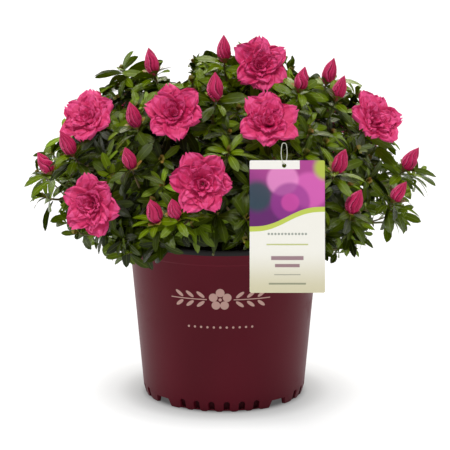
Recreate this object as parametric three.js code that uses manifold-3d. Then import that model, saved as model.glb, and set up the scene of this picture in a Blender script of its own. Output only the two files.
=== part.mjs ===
// A potted azalea: a low, rounded evergreen shrub in bud and bloom, in a tapered nursery pot, with a
// hang tag on one of its twigs. Millimetres, +Z up. The origin is the centre of the pot's foot, on the
// surface that it stands on. The side that is seen first faces -Y, and the far half of the crown is
// the near half turned round the pot's axis.
import * as THREE from "three";
import { mergeVertices } from "three/addons/utils/BufferGeometryUtils.js";
import Module from "manifold-3d";

const wasm = await Module();
wasm.setup();

// Clearance between two solids that touch on the real plant.
const CLEARANCE = 0.3;
const UP = new THREE.Vector3(0, 0, 1);

// Pot
const POT_HEIGHT = 248;
const LIP_RADIUS = 144.5;
const LIP_HEIGHT = 8;
const BAND_HEIGHT = 16;
const BAND_STEP = 1.4;
const FOOT_RADIUS = 120;
const FOOT_FLARE = 1.5;
const FOOT_FLARE_HEIGHT = 12;
const WALL = 3;
const POT_FLOOR = 18;
const POT_SIDES = 32;
const FEET = 4;
const FOOT_TURN = -3.4;
const FOOT_GAP_ANGLE = 12;
const FOOT_GAP_SLANT = 4;
const FOOT_GAP_HEIGHT = 12;
const FLUTES_PER_FOOT = 6;
const FLUTE_SPACING = 10.6;
const FLUTE_WIDTH = 8.5;
const FLUTE_HEIGHT = 14;
const FLUTE_DEPTH = 2.4;

// Soil and stem
const SOIL_TOP = 226;
const SOIL_CROWNING = 5;
const STEM_FOOT_RADIUS = 17;
const STEM_WAIST_RADIUS = 11.5;
const STEM_TOP_RADIUS = 12.5;
const STEM_TOP = 264;

// Crown: a flattened dome. Its skin is where the outermost leaf tips lie.
const CROWN_CENTRE = new THREE.Vector3(0, 0, 300);
const CROWN_REACH = 315;
const CROWN_RISE = 241;
const CROWN_DROP = 110;
const CROWN_SKIRT = 223;
const BOUGH_END = 0.42;
const FIRST_TWIG = 0.45;
const LAST_TWIG = 0.64;
const LEAVES_FROM = 0.5;
const SPACE_MARGIN = 0.4;
const RIM_MARGIN = 1.5;

// Foliage. A leaf here stands for a few real ones, so it is larger than life.
const LEAF_LENGTH = 58;
const LEAF_WIDTH = 24;
const LEAF_RIDGE = 2.2;
const LEAF_ARCH = 0.08;
const LEAF_WIDEST = 0.52;
const LEAF_ROOM = 14;
const TIER_HEIGHT = 4;
const TWIG_RADIUS = 1.8;
const TWIG_STRAIGHT = 0.4;
const TIP_BACK = 46;
const LEAFY_SHOOTS = 76;
const LOWEST_SHOOT = -13;
const INNER_ELEVATION = -7;
const INNER_SHARE = 0.68;
const GOLDEN_ANGLE = 137.508;

// Blooms and buds
const BLOOM_RADIUS = 41;
const BLOOM_DEPTH = 30;
const BLOOM_SHARE = 0.93;
const FAR_BLOOM_SHARE = 0.84;
const BLOOM_SPACING = 11;
const BLOOM_ROOM = 34;
const BUD_LENGTH = 38;
const BUD_RADIUS = 10.5;
const BUD_SHARE = 0.95;
const BUD_SPACING = 7;
const BUD_ROOM = 14;

// Hang tag: a card on a thin loop, leaning on the leaves below its twig.
const TAG_WIDTH = 100;
const TAG_HEIGHT = 176;
const TAG_THICKNESS = 0.8;
const TAG_LEAN = 14;
const TAG_FOOT = new THREE.Vector3(84, -318, 229.5);
const TAG_HOLE_RADIUS = 3;
const TAG_HOLE_DROP = 7;
const TAG_CORNER = 1.5;
const TIE_RADIUS = 0.6;
const TIE_SPREAD = 4;
const TIE_STEPS = 24;
const TIE_POINT = new THREE.Vector3(80, -271, 420);
const TIE_TWIG_HEADING = [-84, 4];
const TIE_TWIG_BEFORE = 20;
const TIE_TWIG_PAST = 14;

// The masses of one half of the crown: where each lies from the crown's centre, as azimuth and
// elevation in degrees, the bough that its own bough grows from, and where its bloom faces. A mass
// whose farBlooms is false has no bloom in the far half.
const MASSES = [
  { name: "low_middle", at: [-96, 14], from: "stem", faces: [-92, 12] },
  { name: "low_left", at: [-129, 6], from: "low_middle", faces: [-113, 8] },
  { name: "low_side", at: [-161, 7], from: "low_middle" },
  { name: "low_right", at: [-60, 5], from: "low_middle" },
  { name: "low_corner", at: [-28, 5], from: "low_middle" },
  { name: "top_left", at: [-136, 60], from: "stem" },
  { name: "upper_left", at: [-147, 31], from: "top_left", faces: [-122, 42] },
  { name: "upper_middle", at: [-109, 36], from: "top_left", faces: [-100, 30] },
  { name: "top_right", at: [-62, 62], from: "stem", faces: [-80, 24], farBlooms: false },
  { name: "upper_centre", at: [-74, 33], from: "top_right", faces: [-84, 40] },
  { name: "upper_right", at: [-24, 29], from: "top_right", faces: [-56, 40] },
];

// Where the buds of one half lie, as azimuth and elevation in degrees.
const BUDS = [
  [-146, 59], [-98, 76], [-123, 33], [-90, 46], [-54, 44], [-19, 50], [-32, 42], [-145, 21],
  [-153, 14], [-118, 20], [-109, 6], [-103, 7], [-55, 18], [-20, 14], [-34, 7], [-53, 7],
];

// Turning between degrees and directions

const radians = THREE.MathUtils.degToRad;

// The unit direction with this azimuth (0 is +X, 90 is +Y) and elevation, in degrees.
function direction([azimuth, elevation]) {
  const flat = Math.cos(radians(elevation));
  return new THREE.Vector3(
    flat * Math.cos(radians(azimuth)),
    flat * Math.sin(radians(azimuth)),
    Math.sin(radians(elevation)),
  );
}

// A number from 0 to 1 that depends only on a shoot's place in its list and on a draw's number.
function chance(item, draw) {
  const value = Math.sin(item * 12.9898 + draw * 78.233) * 43758.5453;
  return value - Math.floor(value);
}

// How far the crown's skin is from its centre in a direction.
function skin(towards) {
  const vertical = towards.z > 0 ? CROWN_RISE : CROWN_DROP;
  return 1 / Math.hypot(towards.x / CROWN_REACH, towards.y / CROWN_REACH, towards.z / vertical);
}

// The point at a share of the way from the crown's centre to its skin.
function inCrown(towards, share) {
  return towards.clone().multiplyScalar(skin(towards) * share).add(CROWN_CENTRE);
}

// Two directions square to an axis and to each other.
function acrossAxis(axis) {
  const helper = Math.abs(axis.z) > 0.9 ? new THREE.Vector3(1, 0, 0) : UP;
  const side = new THREE.Vector3().crossVectors(helper, axis).normalize();
  return [side, new THREE.Vector3().crossVectors(axis, side)];
}

// Solids and geometries

// A closed geometry as a solid: only its positions count, with shared corners merged.
function solidOf(geometry) {
  const bare = geometry.clone();
  bare.deleteAttribute("normal");
  bare.deleteAttribute("uv");
  const merged = mergeVertices(bare, 1e-4);
  return new wasm.Manifold(
    new wasm.Mesh({
      numProp: 3,
      vertProperties: merged.attributes.position.array,
      triVerts: new Uint32Array(merged.index.array),
    }),
  );
}

// A solid as a geometry again. Only its largest shell is kept, so a loose scrap is dropped and a
// hollow that joining has sealed is filled.
function geometryOf(solid) {
  const shells = solid.decompose();
  const largest = shells.reduce((a, b) => (a.volume() > b.volume() ? a : b));
  const mesh = largest.simplify(0.02).getMesh();
  const positions = new Float32Array(mesh.numVert * 3);
  for (let i = 0; i < mesh.numVert; i += 1) {
    positions.set(mesh.vertProperties.subarray(i * mesh.numProp, i * mesh.numProp + 3), i * 3);
  }
  return new THREE.BufferGeometry()
    .setAttribute("position", new THREE.BufferAttribute(positions, 3))
    .setIndex(new THREE.BufferAttribute(mesh.triVerts, 1));
}

// A closed surface that is put together from points and faces.
class Surface {
  positions = [];
  index = [];

  point(p) {
    this.positions.push(p.x, p.y, p.z);
    return this.positions.length / 3 - 1;
  }

  face(...corners) {
    this.index.push(...corners);
  }

  geometry() {
    return new THREE.BufferGeometry()
      .setAttribute("position", new THREE.Float32BufferAttribute(this.positions, 3))
      .setIndex(this.index);
  }

  // The rings of a tube along points, with a direction and a radius at each point. Each ring holds
  // its corners' numbers, anticlockwise round the tube's direction, and its two cross directions.
  rings(points, directions, radii, sides) {
    let normal = null;
    return points.map((point, i) => {
      const along = directions[i];
      normal = normal
        ? normal.clone().addScaledVector(along, -normal.dot(along)).normalize()
        : acrossAxis(along)[0];
      const binormal = new THREE.Vector3().crossVectors(along, normal);
      const corners = Array.from({ length: sides }, (_, s) => {
        const turn = (2 * Math.PI * s) / sides;
        const corner = point
          .clone()
          .addScaledVector(normal, radii[i] * Math.cos(turn))
          .addScaledVector(binormal, radii[i] * Math.sin(turn));
        return this.point(corner);
      });
      return { corners, normal, binormal };
    });
  }

  // One side of the band between two rings.
  side(lower, upper, s) {
    const t = (s + 1) % lower.corners.length;
    const [a, b] = [lower.corners[s], lower.corners[t]];
    const [c, d] = [upper.corners[t], upper.corners[s]];
    this.face(a, b, c, a, c, d);
  }

  // Flat ends on a tube's first and last rings.
  lids(first, last) {
    for (let s = 1; s < first.corners.length - 1; s += 1) {
      this.face(first.corners[0], first.corners[s + 1], first.corners[s]);
      this.face(last.corners[0], last.corners[s], last.corners[s + 1]);
    }
  }
}

// A closed tube along points. Its ends are flat cuts square to the first and last directions, or it
// closes on itself as a hoop.
function tube(points, directions, radii, sides, hoop = false) {
  const surface = new Surface();
  const rings = surface.rings(points, directions, radii, sides);
  rings.forEach((ring, i) => {
    if (i === rings.length - 1 && !hoop) return;
    for (let s = 0; s < sides; s += 1) surface.side(ring, rings[(i + 1) % rings.length], s);
  });
  if (!hoop) surface.lids(rings[0], rings.at(-1));
  return surface.geometry();
}

// A tube that tapers evenly along a curve.
function taper(curve, firstRadius, lastRadius, sides, steps) {
  const shares = Array.from({ length: steps + 1 }, (_, i) => i / steps);
  return tube(
    shares.map((share) => curve.getPoint(share)),
    shares.map((share) => curve.getTangent(share)),
    shares.map((share) => THREE.MathUtils.lerp(firstRadius, lastRadius, share)),
    sides,
  );
}

// Turns a geometry that is drawn along +Z, or along +X with +Z up, and moves it to a place.
function place(geometry, along, side, upward, origin) {
  const matrix = new THREE.Matrix4().makeBasis(along, side, upward).setPosition(origin);
  return geometry.applyMatrix4(matrix);
}

// Pot: one turned wall with a floor, cut open between its feet, with a flute in each side of a foot

function wallRadius(z) {
  const top = LIP_RADIUS - 2 - BAND_STEP;
  return THREE.MathUtils.lerp(FOOT_RADIUS, top, z / (POT_HEIGHT - LIP_HEIGHT - BAND_HEIGHT));
}

function potGeometry() {
  const bandBase = POT_HEIGHT - LIP_HEIGHT - BAND_HEIGHT;
  const lipBase = POT_HEIGHT - LIP_HEIGHT;
  const profile = [
    [0, POT_FLOOR - WALL],
    [wallRadius(0) - 2 * WALL, POT_FLOOR - WALL],
    [wallRadius(0) - 2 * WALL, 0],
    [wallRadius(0) - 1, 0],
    [wallRadius(FOOT_FLARE_HEIGHT) + FOOT_FLARE, FOOT_FLARE_HEIGHT],
    [wallRadius(bandBase), bandBase],
    [wallRadius(bandBase) + BAND_STEP, bandBase + 2],
    [LIP_RADIUS - 1.6, lipBase],
    [LIP_RADIUS, lipBase + 0.8],
    [LIP_RADIUS, POT_HEIGHT],
    [LIP_RADIUS - WALL - 1.5, POT_HEIGHT],
    [wallRadius(bandBase) - WALL, bandBase],
    [wallRadius(POT_FLOOR) - WALL, POT_FLOOR],
    [0, POT_FLOOR],
  ].map(([r, z]) => new THREE.Vector2(r, z));
  const turned = new THREE.LatheGeometry(profile, POT_SIDES)
    .rotateX(Math.PI / 2)
    .rotateZ(radians(FOOT_TURN));
  const cutters = [];
  for (let foot = 0; foot < FEET; foot += 1) {
    const middle = FOOT_TURN - 90 + (foot * 360) / FEET;
    cutters.push(footGapCutter(middle + 180 / FEET));
    for (let flute = 0; flute < FLUTES_PER_FOOT; flute += 1) {
      const side = flute - (FLUTES_PER_FOOT - 1) / 2;
      cutters.push(fluteCutter(middle + side * FLUTE_SPACING));
    }
  }
  return geometryOf(solidOf(turned).subtract(wasm.Manifold.union(cutters)));
}

// A block that opens the wall between two feet, wider at the bottom, up to just under the floor.
function footGapCutter(azimuth) {
  const half = FOOT_RADIUS * Math.tan(radians(FOOT_GAP_ANGLE / 2));
  const gap = new THREE.Shape([
    new THREE.Vector2(-half - FOOT_GAP_SLANT, -1),
    new THREE.Vector2(half + FOOT_GAP_SLANT, -1),
    new THREE.Vector2(half, FOOT_GAP_HEIGHT),
    new THREE.Vector2(-half, FOOT_GAP_HEIGHT),
  ]);
  return radialBlock(gap, FOOT_RADIUS - 4 * WALL, 6 * WALL, azimuth);
}

// A shallow upright flute in the foot's outer face.
function fluteCutter(azimuth) {
  const half = FLUTE_WIDTH / 2;
  const flute = new THREE.Shape([
    new THREE.Vector2(-half, -1),
    new THREE.Vector2(half, -1),
    new THREE.Vector2(half * 0.7, FLUTE_HEIGHT),
    new THREE.Vector2(-half * 0.7, FLUTE_HEIGHT),
  ]);
  return radialBlock(flute, FOOT_RADIUS - FLUTE_DEPTH, 3 * WALL, azimuth);
}

// A shape drawn as it is seen from outside the pot, run outwards from a radius at an azimuth.
function radialBlock(shape, radius, depth, azimuth) {
  const block = new THREE.ExtrudeGeometry(shape, { depth, bevelEnabled: false });
  const outwards = direction([azimuth, 0]);
  const side = new THREE.Vector3().crossVectors(UP, outwards);
  return solidOf(place(block, side, UP, outwards, outwards.clone().multiplyScalar(radius)));
}

// Soil: fills the pot, slightly crowned at its top

function soilGeometry() {
  const foot = POT_FLOOR + CLEARANCE;
  const rim = SOIL_TOP - SOIL_CROWNING;
  const inside = (z) => wallRadius(z) - WALL - 2 * CLEARANCE;
  const profile = [
    [0, foot],
    [inside(foot) - 0.5, foot],
    [inside(rim), rim],
    [inside(rim) * 0.55, SOIL_TOP],
    [0, SOIL_TOP],
  ].map(([r, z]) => new THREE.Vector2(r, z));
  return new THREE.LatheGeometry(profile, POT_SIDES / 2)
    .rotateX(Math.PI / 2)
    .rotateZ(radians(FOOT_TURN));
}

// Stem: a short trunk, flared at the soil and swollen where it forks

function stemGeometry() {
  const foot = SOIL_TOP + CLEARANCE;
  const profile = [
    [0, foot],
    [STEM_FOOT_RADIUS, foot],
    [STEM_WAIST_RADIUS + 1.5, foot + 9],
    [STEM_WAIST_RADIUS, foot + 20],
    [STEM_TOP_RADIUS, STEM_TOP],
    [0, STEM_TOP],
  ].map(([r, z]) => new THREE.Vector2(r, z));
  return new THREE.LatheGeometry(profile, 12).rotateX(Math.PI / 2);
}

// The crown's masses: both halves, each with its direction, its name and its bough

const crown = [0, 1].flatMap((half) =>
  MASSES.map((mass) => {
    const turned = ([azimuth, elevation]) => [azimuth + 180 * half, elevation];
    const blooms = mass.faces && !(half && mass.farBlooms === false);
    return {
      name: `${half ? "far" : "near"}_${mass.name}`,
      towards: direction(turned(mass.at)),
      parent: mass.from === "stem" ? null : `${half ? "far" : "near"}_${mass.from}`,
      faces: blooms ? direction(turned(mass.faces)) : null,
      bloomShare: half ? FAR_BLOOM_SHARE : BLOOM_SHARE,
    };
  }),
);

function massOf(towards) {
  return crown.reduce((a, b) => (a.towards.dot(towards) > b.towards.dot(towards) ? a : b));
}

// Boughs: main ones rise from the stem's top, and side ones leave them 0.3 mm clear of their bark

const MAIN_BOUGH = { first: 3.9, last: 2.6, sides: 6, steps: 6, pull: 0.38 };
const SIDE_BOUGH = { first: 2.6, last: 2.2, sides: 5, steps: 4, pull: 0.3 };
const FORK_RING = 8.4;
const SIDE_STARTS = [2 / 6, 3 / 6, 4 / 6, 5 / 6];

function boughCurve(start, leaving, towards, pull) {
  const end = inCrown(towards, BOUGH_END);
  const span = end.distanceTo(start) * pull;
  return new THREE.CubicBezierCurve3(
    start,
    start.clone().addScaledVector(leaving, span),
    end.clone().addScaledVector(towards, -span),
    end,
  );
}

function growBoughs() {
  const mains = crown.filter((mass) => !mass.parent);
  const turn = (mass) => Math.atan2(mass.towards.y, mass.towards.x);
  const aroundStem = [...mains].sort((a, b) => turn(a) - turn(b));
  aroundStem.forEach((mass, i) => {
    const ring = turn(aroundStem[0]) + (2 * Math.PI * i) / mains.length;
    const start = new THREE.Vector3(Math.cos(ring), Math.sin(ring), 0)
      .multiplyScalar(FORK_RING)
      .setZ(STEM_TOP + CLEARANCE);
    mass.curve = boughCurve(start, UP, mass.towards, MAIN_BOUGH.pull);
    mass.bough = taper(
      mass.curve, MAIN_BOUGH.first, MAIN_BOUGH.last, MAIN_BOUGH.sides, MAIN_BOUGH.steps,
    );
  });
  mains.forEach((main) => {
    const sides = crown.filter((mass) => mass.parent === main.name);
    sides.forEach((mass, i) => {
      const share = SIDE_STARTS[i];
      const along = main.curve.getTangent(share);
      const from = main.curve.getPoint(share);
      const leaving = new THREE.Vector3()
        .subVectors(inCrown(mass.towards, BOUGH_END), from)
        .projectOnPlane(along)
        .normalize();
      const bark = THREE.MathUtils.lerp(MAIN_BOUGH.first, MAIN_BOUGH.last, share);
      from.addScaledVector(leaving, bark + 2 * CLEARANCE);
      mass.curve = boughCurve(from, leaving, mass.towards, SIDE_BOUGH.pull);
      mass.bough = taper(
        mass.curve, SIDE_BOUGH.first, SIDE_BOUGH.last, SIDE_BOUGH.sides, SIDE_BOUGH.steps,
      );
    });
  });
}

// Spaces: a mass keeps to the cone of directions that are nearer to it than to any other mass,
// clear of the boughs inside, of the pot's lip and of the hang tag

const tagUpward = direction([90, 90 - TAG_LEAN]);
const tagOutward = new THREE.Vector3(0, -tagUpward.z, tagUpward.y);

function cornersOf(geometry) {
  const at = geometry.attributes.position;
  return Array.from({ length: at.count }, (_, i) => new THREE.Vector3().fromBufferAttribute(at, i));
}

function keepsToMass(corners, mass) {
  return crown.every((other) => {
    if (other === mass) return true;
    const between = new THREE.Vector3().subVectors(mass.towards, other.towards).normalize();
    return corners.every((p) => p.clone().sub(CROWN_CENTRE).dot(between) > SPACE_MARGIN);
  });
}

// A point moved, where it has to be, until it lies at least this far inside its mass's space.
function settle(point, mass, room) {
  const settled = point.clone();
  for (const other of crown) {
    if (other === mass) continue;
    const between = new THREE.Vector3().subVectors(mass.towards, other.towards).normalize();
    const inside = settled.clone().sub(CROWN_CENTRE).dot(between);
    settled.addScaledVector(between, Math.max(0, room - inside));
  }
  return settled;
}

function clearsPot(corners) {
  const above = POT_HEIGHT + RIM_MARGIN;
  if (corners.every((p) => p.z > above)) return true;
  const outwards = corners[0].clone().setZ(0).normalize();
  const slope = outwards.clone().add(UP).normalize();
  const lip = outwards.clone().multiplyScalar(LIP_RADIUS).setZ(POT_HEIGHT);
  return corners.every((p) => p.clone().sub(lip).dot(slope) > RIM_MARGIN);
}

// True where the card and its loop, with some room round them, are clear of a box round the corners.
function clearsTag(corners) {
  const local = corners.map((p) => {
    const q = p.clone().sub(TAG_FOOT);
    return new THREE.Vector3(q.x, q.dot(tagUpward), q.dot(tagOutward));
  });
  const box = new THREE.Box3().setFromPoints(local);
  const room = new THREE.Box3(
    new THREE.Vector3(-TAG_WIDTH / 2 - 2, -4, -3),
    new THREE.Vector3(TAG_WIDTH / 2 + 2, TAG_HEIGHT + 4, 60),
  );
  const loop = new THREE.Box3(
    new THREE.Vector3(-TIE_SPREAD - 8, TAG_HEIGHT - 12, -8),
    new THREE.Vector3(TIE_SPREAD + 2, TAG_HEIGHT + 28, 12),
  );
  return !box.intersectsBox(room) && !box.intersectsBox(loop);
}

function clearsBoughs(corners) {
  return corners.every((p) => {
    const towards = p.clone().sub(CROWN_CENTRE);
    return towards.length() > LEAVES_FROM * skin(towards.clone().normalize());
  });
}

function fits(corners, mass) {
  const aboveSkirt = corners.every((p) => p.z > CROWN_SKIRT);
  return aboveSkirt && keepsToMass(corners, mass) && clearsPot(corners) && clearsTag(corners);
}

// A leaf also needs room of its own among the mass's other leaves, blooms and buds.
function leafFits(leaf, mass) {
  const middle = leaf[0].clone().lerp(leaf[1], 0.5);
  const free = mass.taken.every(({ centre, room }) => centre.distanceTo(middle) > room);
  return free && fits(leaf, mass) && clearsBoughs(leaf);
}

// Bloom and bud

// A double bloom that opens along +Z: a funnel of five broad petals with a notched, waved edge,
// and five shorter ones standing inside them. Its root is at the origin.
function bloomGeometry() {
  const steps = 20;
  const profile = [
    [0, -6, 0, 0],
    [1, BLOOM_DEPTH + 3, 0.16, 3],
    [0.7, BLOOM_DEPTH + 5, 0.1, 1.5],
    [0.38, BLOOM_DEPTH + 14, -0.16, -4],
    [0, BLOOM_DEPTH - 2, 0, 0],
  ];
  const points = profile.map(([r, z]) => new THREE.Vector2(r * BLOOM_RADIUS, z));
  const bloom = new THREE.LatheGeometry(points, steps).rotateX(Math.PI / 2);
  const at = bloom.attributes.position;
  for (let i = 0; i < at.count; i += 1) {
    const [, , lobes, waves] = profile[i % profile.length];
    const turn = Math.atan2(at.getY(i), at.getX(i));
    const grown = 1 + lobes * (Math.cos(5 * turn) - 1) * 0.5 + lobes * 0.2 * Math.sin(3 * turn);
    at.setXYZ(i, at.getX(i) * grown, at.getY(i) * grown, at.getZ(i) + waves * Math.cos(10 * turn));
  }
  return bloom;
}

// A furled bud: a five-sided spindle along +Z with a pointed tip.
function budGeometry(size) {
  const profile = [[0, -3], [1, 10], [0.85, 22], [0, BUD_LENGTH]];
  const points = profile.map(([r, z]) => new THREE.Vector2(r * BUD_RADIUS * size, z * size));
  return new THREE.LatheGeometry(points, 5).rotateX(Math.PI / 2);
}

// Shoots: where each one's tip is, which way it points, and the tiers of three leaves below its tip.
// A tier is given by how far its leaves spread from the shoot's axis, in degrees, the lowest first.

function leaning(towards, upright) {
  return towards.clone().addScaledVector(UP, upright).normalize();
}

function bloomShoot(mass, item) {
  const middle = inCrown(mass.towards, mass.bloomShare);
  const tip = middle.clone().addScaledVector(mass.faces, -BLOOM_DEPTH);
  return {
    mass, item, tip, axis: mass.faces, room: 6, head: bloomGeometry(),
    headRoom: BLOOM_ROOM,
    leaves: { back: 6, spreads: [84], length: 1 },
  };
}

function budShoot(at, half, item) {
  const towards = direction([at[0] + 180 * half, at[1]]);
  const axis = leaning(towards, 1.3);
  const size = 0.86 + 0.2 * chance(item, 5);
  const tip = inCrown(towards, BUD_SHARE).addScaledVector(axis, (-BUD_LENGTH * size) / 2);
  return {
    mass: massOf(towards), item, tip, axis, room: BUD_RADIUS + 2, head: budGeometry(size),
    headRoom: BUD_ROOM,
    leaves: { back: 1, spreads: [86, 62], length: 0.9 },
  };
}

function leafyShoot(towards, item) {
  const axis = leaning(towards, 0.55);
  const tip = inCrown(towards, 1).addScaledVector(towards, -TIP_BACK);
  return {
    mass: massOf(towards), item, tip, axis, room: 5, head: null,
    leaves: { back: 0, spreads: [80, 44], length: 1 },
  };
}

// A shoot inside a low mass, over the pot's rim, where the crown is dense.
function innerShoot(mass, item) {
  const azimuth = THREE.MathUtils.radToDeg(Math.atan2(mass.towards.y, mass.towards.x));
  const towards = direction([azimuth, INNER_ELEVATION]);
  return {
    mass, item, tip: inCrown(towards, INNER_SHARE), axis: leaning(towards, 0.4), room: 5, head: null,
    leaves: { back: 0, spreads: [84, 52], length: 1 },
  };
}

// Directions spread evenly over the dome by a golden-angle spiral, from its top to its skirt.
function spiralDirections(count) {
  const lowest = Math.sin(radians(LOWEST_SHOOT));
  return Array.from({ length: count }, (_, i) => {
    const height = 1 - ((i + 0.5) / count) * (1 - lowest);
    const elevation = THREE.MathUtils.radToDeg(Math.asin(height));
    return direction([i * GOLDEN_ANGLE + 9 * (chance(i, 1) - 0.5), elevation]);
  });
}

function allShoots() {
  const blooms = crown.filter((mass) => mass.faces);
  const buds = [0, 1].flatMap((half) => BUDS.map((at) => ({ at, half })));
  const budDirections = buds.map(({ at, half }) => direction([at[0] + 180 * half, at[1]]));
  const free = (towards) =>
    blooms.every((mass) => mass.towards.dot(towards) < Math.cos(radians(BLOOM_SPACING))) &&
    budDirections.every((bud) => bud.dot(towards) < Math.cos(radians(BUD_SPACING)));
  return [
    ...blooms.map((mass, i) => bloomShoot(mass, i)),
    ...buds.map(({ at, half }, i) => budShoot(at, half, i + 100)),
    ...crown.filter((mass) => mass.name.includes("_low_")).map((mass, i) => innerShoot(mass, i + 150)),
    ...spiralDirections(LEAFY_SHOOTS)
      .map((towards, i) => ({ towards, item: i + 200 }))
      .filter(({ towards }) => free(towards))
      .map(({ towards, item }) => leafyShoot(towards, item)),
  ];
}

// Where the twig of a shoot bends into its last, straight stretch.
function bendOf(start, shoot) {
  const whorl = shoot.leaves.back + TIER_HEIGHT * (shoot.leaves.spreads.length + 1);
  const straight = Math.max(whorl, TWIG_STRAIGHT * shoot.tip.distanceTo(start));
  return settle(shoot.tip.clone().addScaledVector(shoot.axis, -straight), shoot.mass, 4);
}

// A shoot with its twig as one closed solid: a three-sided tube along some points, whose last bands
// are the tiers. From each face of a tier a leaf is drawn out, where one fits.
function sprout(points, shoot) {
  const { back, spreads } = shoot.leaves;
  const bend = points.at(-1);
  const axis = new THREE.Vector3().subVectors(shoot.tip, bend).normalize();
  const path = [...points];
  for (let tier = spreads.length; tier >= 0; tier -= 1) {
    path.push(shoot.tip.clone().addScaledVector(axis, -back - tier * TIER_HEIGHT));
  }
  if (back > 0) path.push(shoot.tip.clone());
  const directions = path.map((_, i) => {
    const before = i > 0 ? direct(path[i - 1], path[i]) : direct(path[0], path[1]);
    const after = i < path.length - 1 ? direct(path[i], path[i + 1]) : before;
    return before.add(after).normalize();
  });
  const radii = path.map((_, i) => TWIG_RADIUS * (i === 0 ? 1.2 : 1));
  const surface = new Surface();
  const rings = surface.rings(path, directions, radii, 3);
  for (let i = 0; i < rings.length - 1; i += 1) {
    const tier = i - points.length;
    for (let s = 0; s < 3; s += 1) {
      const grown = tier in spreads && drawLeaf(surface, rings, i, s, { ...shoot, axis }, tier, path[i]);
      if (!grown) surface.side(rings[i], rings[i + 1], s);
    }
  }
  surface.lids(rings[0], rings.at(-1));
  return { geometry: surface.geometry(), axis };
}

function direct(from, to) {
  return new THREE.Vector3().subVectors(to, from).normalize();
}

// Draws one leaf out of a face of a tier: left and right edges, a raised midrib and a tip. It turns
// aside or stays shorter where it would leave its space, and gives up where that doesn't help.
function drawLeaf(surface, rings, i, s, shoot, tier, root) {
  const { axis, item, mass } = shoot;
  const [lower, upper] = [rings[i], rings[i + 1]];
  const draw = tier * 3 + s;
  const stagger = (tier % 2 ? 28 : -28) + 16 * (chance(item, 30 + draw) - 0.5);
  const length = LEAF_LENGTH * shoot.leaves.length * (0.85 + 0.3 * chance(item, 20 + draw));
  for (const [aside, share] of [[0, 1], [22, 0.95], [-22, 0.95], [0, 0.75]]) {
    const turn = radians(120 * (s + 0.5) + stagger + aside);
    const spread = radians(shoot.leaves.spreads[tier] + 10 * (chance(item, 40 + draw) - 0.5));
    const round = lower.normal
      .clone()
      .multiplyScalar(Math.cos(turn))
      .addScaledVector(lower.binormal, Math.sin(turn));
    const along = axis.clone().multiplyScalar(Math.cos(spread)).addScaledVector(round, Math.sin(spread));
    const across = new THREE.Vector3().crossVectors(axis, along).normalize();
    const upward = new THREE.Vector3().crossVectors(along, across);
    const reach = length * share;
    const middle = root
      .clone()
      .addScaledVector(along, reach * LEAF_WIDEST)
      .addScaledVector(upward, reach * LEAF_ARCH);
    const half = (LEAF_WIDTH * reach) / LEAF_LENGTH / 2;
    const leaf = [
      middle.clone().addScaledVector(across, -half),
      middle.clone().addScaledVector(across, half),
      middle.clone().addScaledVector(upward, LEAF_RIDGE),
      root.clone().addScaledVector(along, reach),
    ];
    if (!leafFits(leaf, mass)) continue;
    mass.taken.push({ centre: middle, room: LEAF_ROOM });
    const [left, right, ridge, tip] = leaf.map((p) => surface.point(p));
    const t = (s + 1) % 3;
    const [a, b, c, d] = [lower.corners[s], lower.corners[t], upper.corners[t], upper.corners[s]];
    surface.face(a, b, right, a, right, left, b, c, right, c, ridge, right);
    surface.face(c, d, ridge, d, left, ridge, d, a, left);
    surface.face(left, right, tip, right, ridge, tip, ridge, left, tip);
    return true;
  }
  return false;
}

// The solids of a shoot: its twig with its leaves, and its bloom or bud where that fits.
function shootPieces(points, shoot) {
  const { geometry, axis } = sprout(points, shoot);
  if (!shoot.head) return [geometry];
  const [side, other] = acrossAxis(axis);
  const head = place(shoot.head, side, other, axis, shoot.tip);
  return fits(cornersOf(head), shoot.mass) ? [geometry, head] : [geometry];
}

// The twig that carries the hang tag. It passes through the tie's point, heading outwards.
function tieTwig(mass) {
  const outwards = direction(TIE_TWIG_HEADING);
  const tip = TIE_POINT.clone().addScaledVector(outwards, TIE_TWIG_PAST);
  const bend = TIE_POINT.clone().addScaledVector(outwards, -TIE_TWIG_BEFORE);
  const leaves = { back: 0, spreads: [62, 38], length: 0.55 };
  const shoot = { mass, item: 90, tip, axis: outwards, leaves };
  return sprout([inCrown(mass.towards, LAST_TWIG - 0.02), bend], shoot).geometry;
}

// Joins a mass. Its stem runs on into the shoot nearest its middle. The other shoots leave the stem
// one after another, the widest first, and each leaf, bloom and bud keeps to the mass's space.
function massGeometry(mass, shoots) {
  const middling = (shoot) => direct(CROWN_CENTRE, shoot.tip).dot(mass.towards);
  const own = shoots.filter((shoot) => shoot.mass === mass);
  own.forEach((shoot) => shoot.tip.copy(settle(shoot.tip, mass, shoot.room)));
  mass.taken = own
    .filter((shoot) => shoot.head)
    .map(({ tip, axis, headRoom: room }) => ({ centre: tip.clone().addScaledVector(axis, room), room }));
  own.sort((a, b) => middling(a) - middling(b));
  const leader = own.pop();
  const foot = inCrown(mass.towards, BOUGH_END).addScaledVector(mass.towards, CLEARANCE);
  const fork = inCrown(mass.towards, LAST_TWIG + 0.02);
  const pieces = shootPieces([foot, fork, bendOf(fork, leader)], leader);
  own.forEach((shoot, i) => {
    const start = inCrown(mass.towards, THREE.MathUtils.lerp(FIRST_TWIG, LAST_TWIG, i / own.length));
    const bend = bendOf(start, shoot);
    if (fits([start, bend, shoot.tip], mass)) pieces.push(...shootPieces([start, bend], shoot));
  });
  if (mass.name === "near_upper_centre") pieces.push(tieTwig(mass));
  return geometryOf(wasm.Manifold.union(pieces.map(solidOf)));
}

// Hang tag: a card with rounded corners and a punched hole

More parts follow.
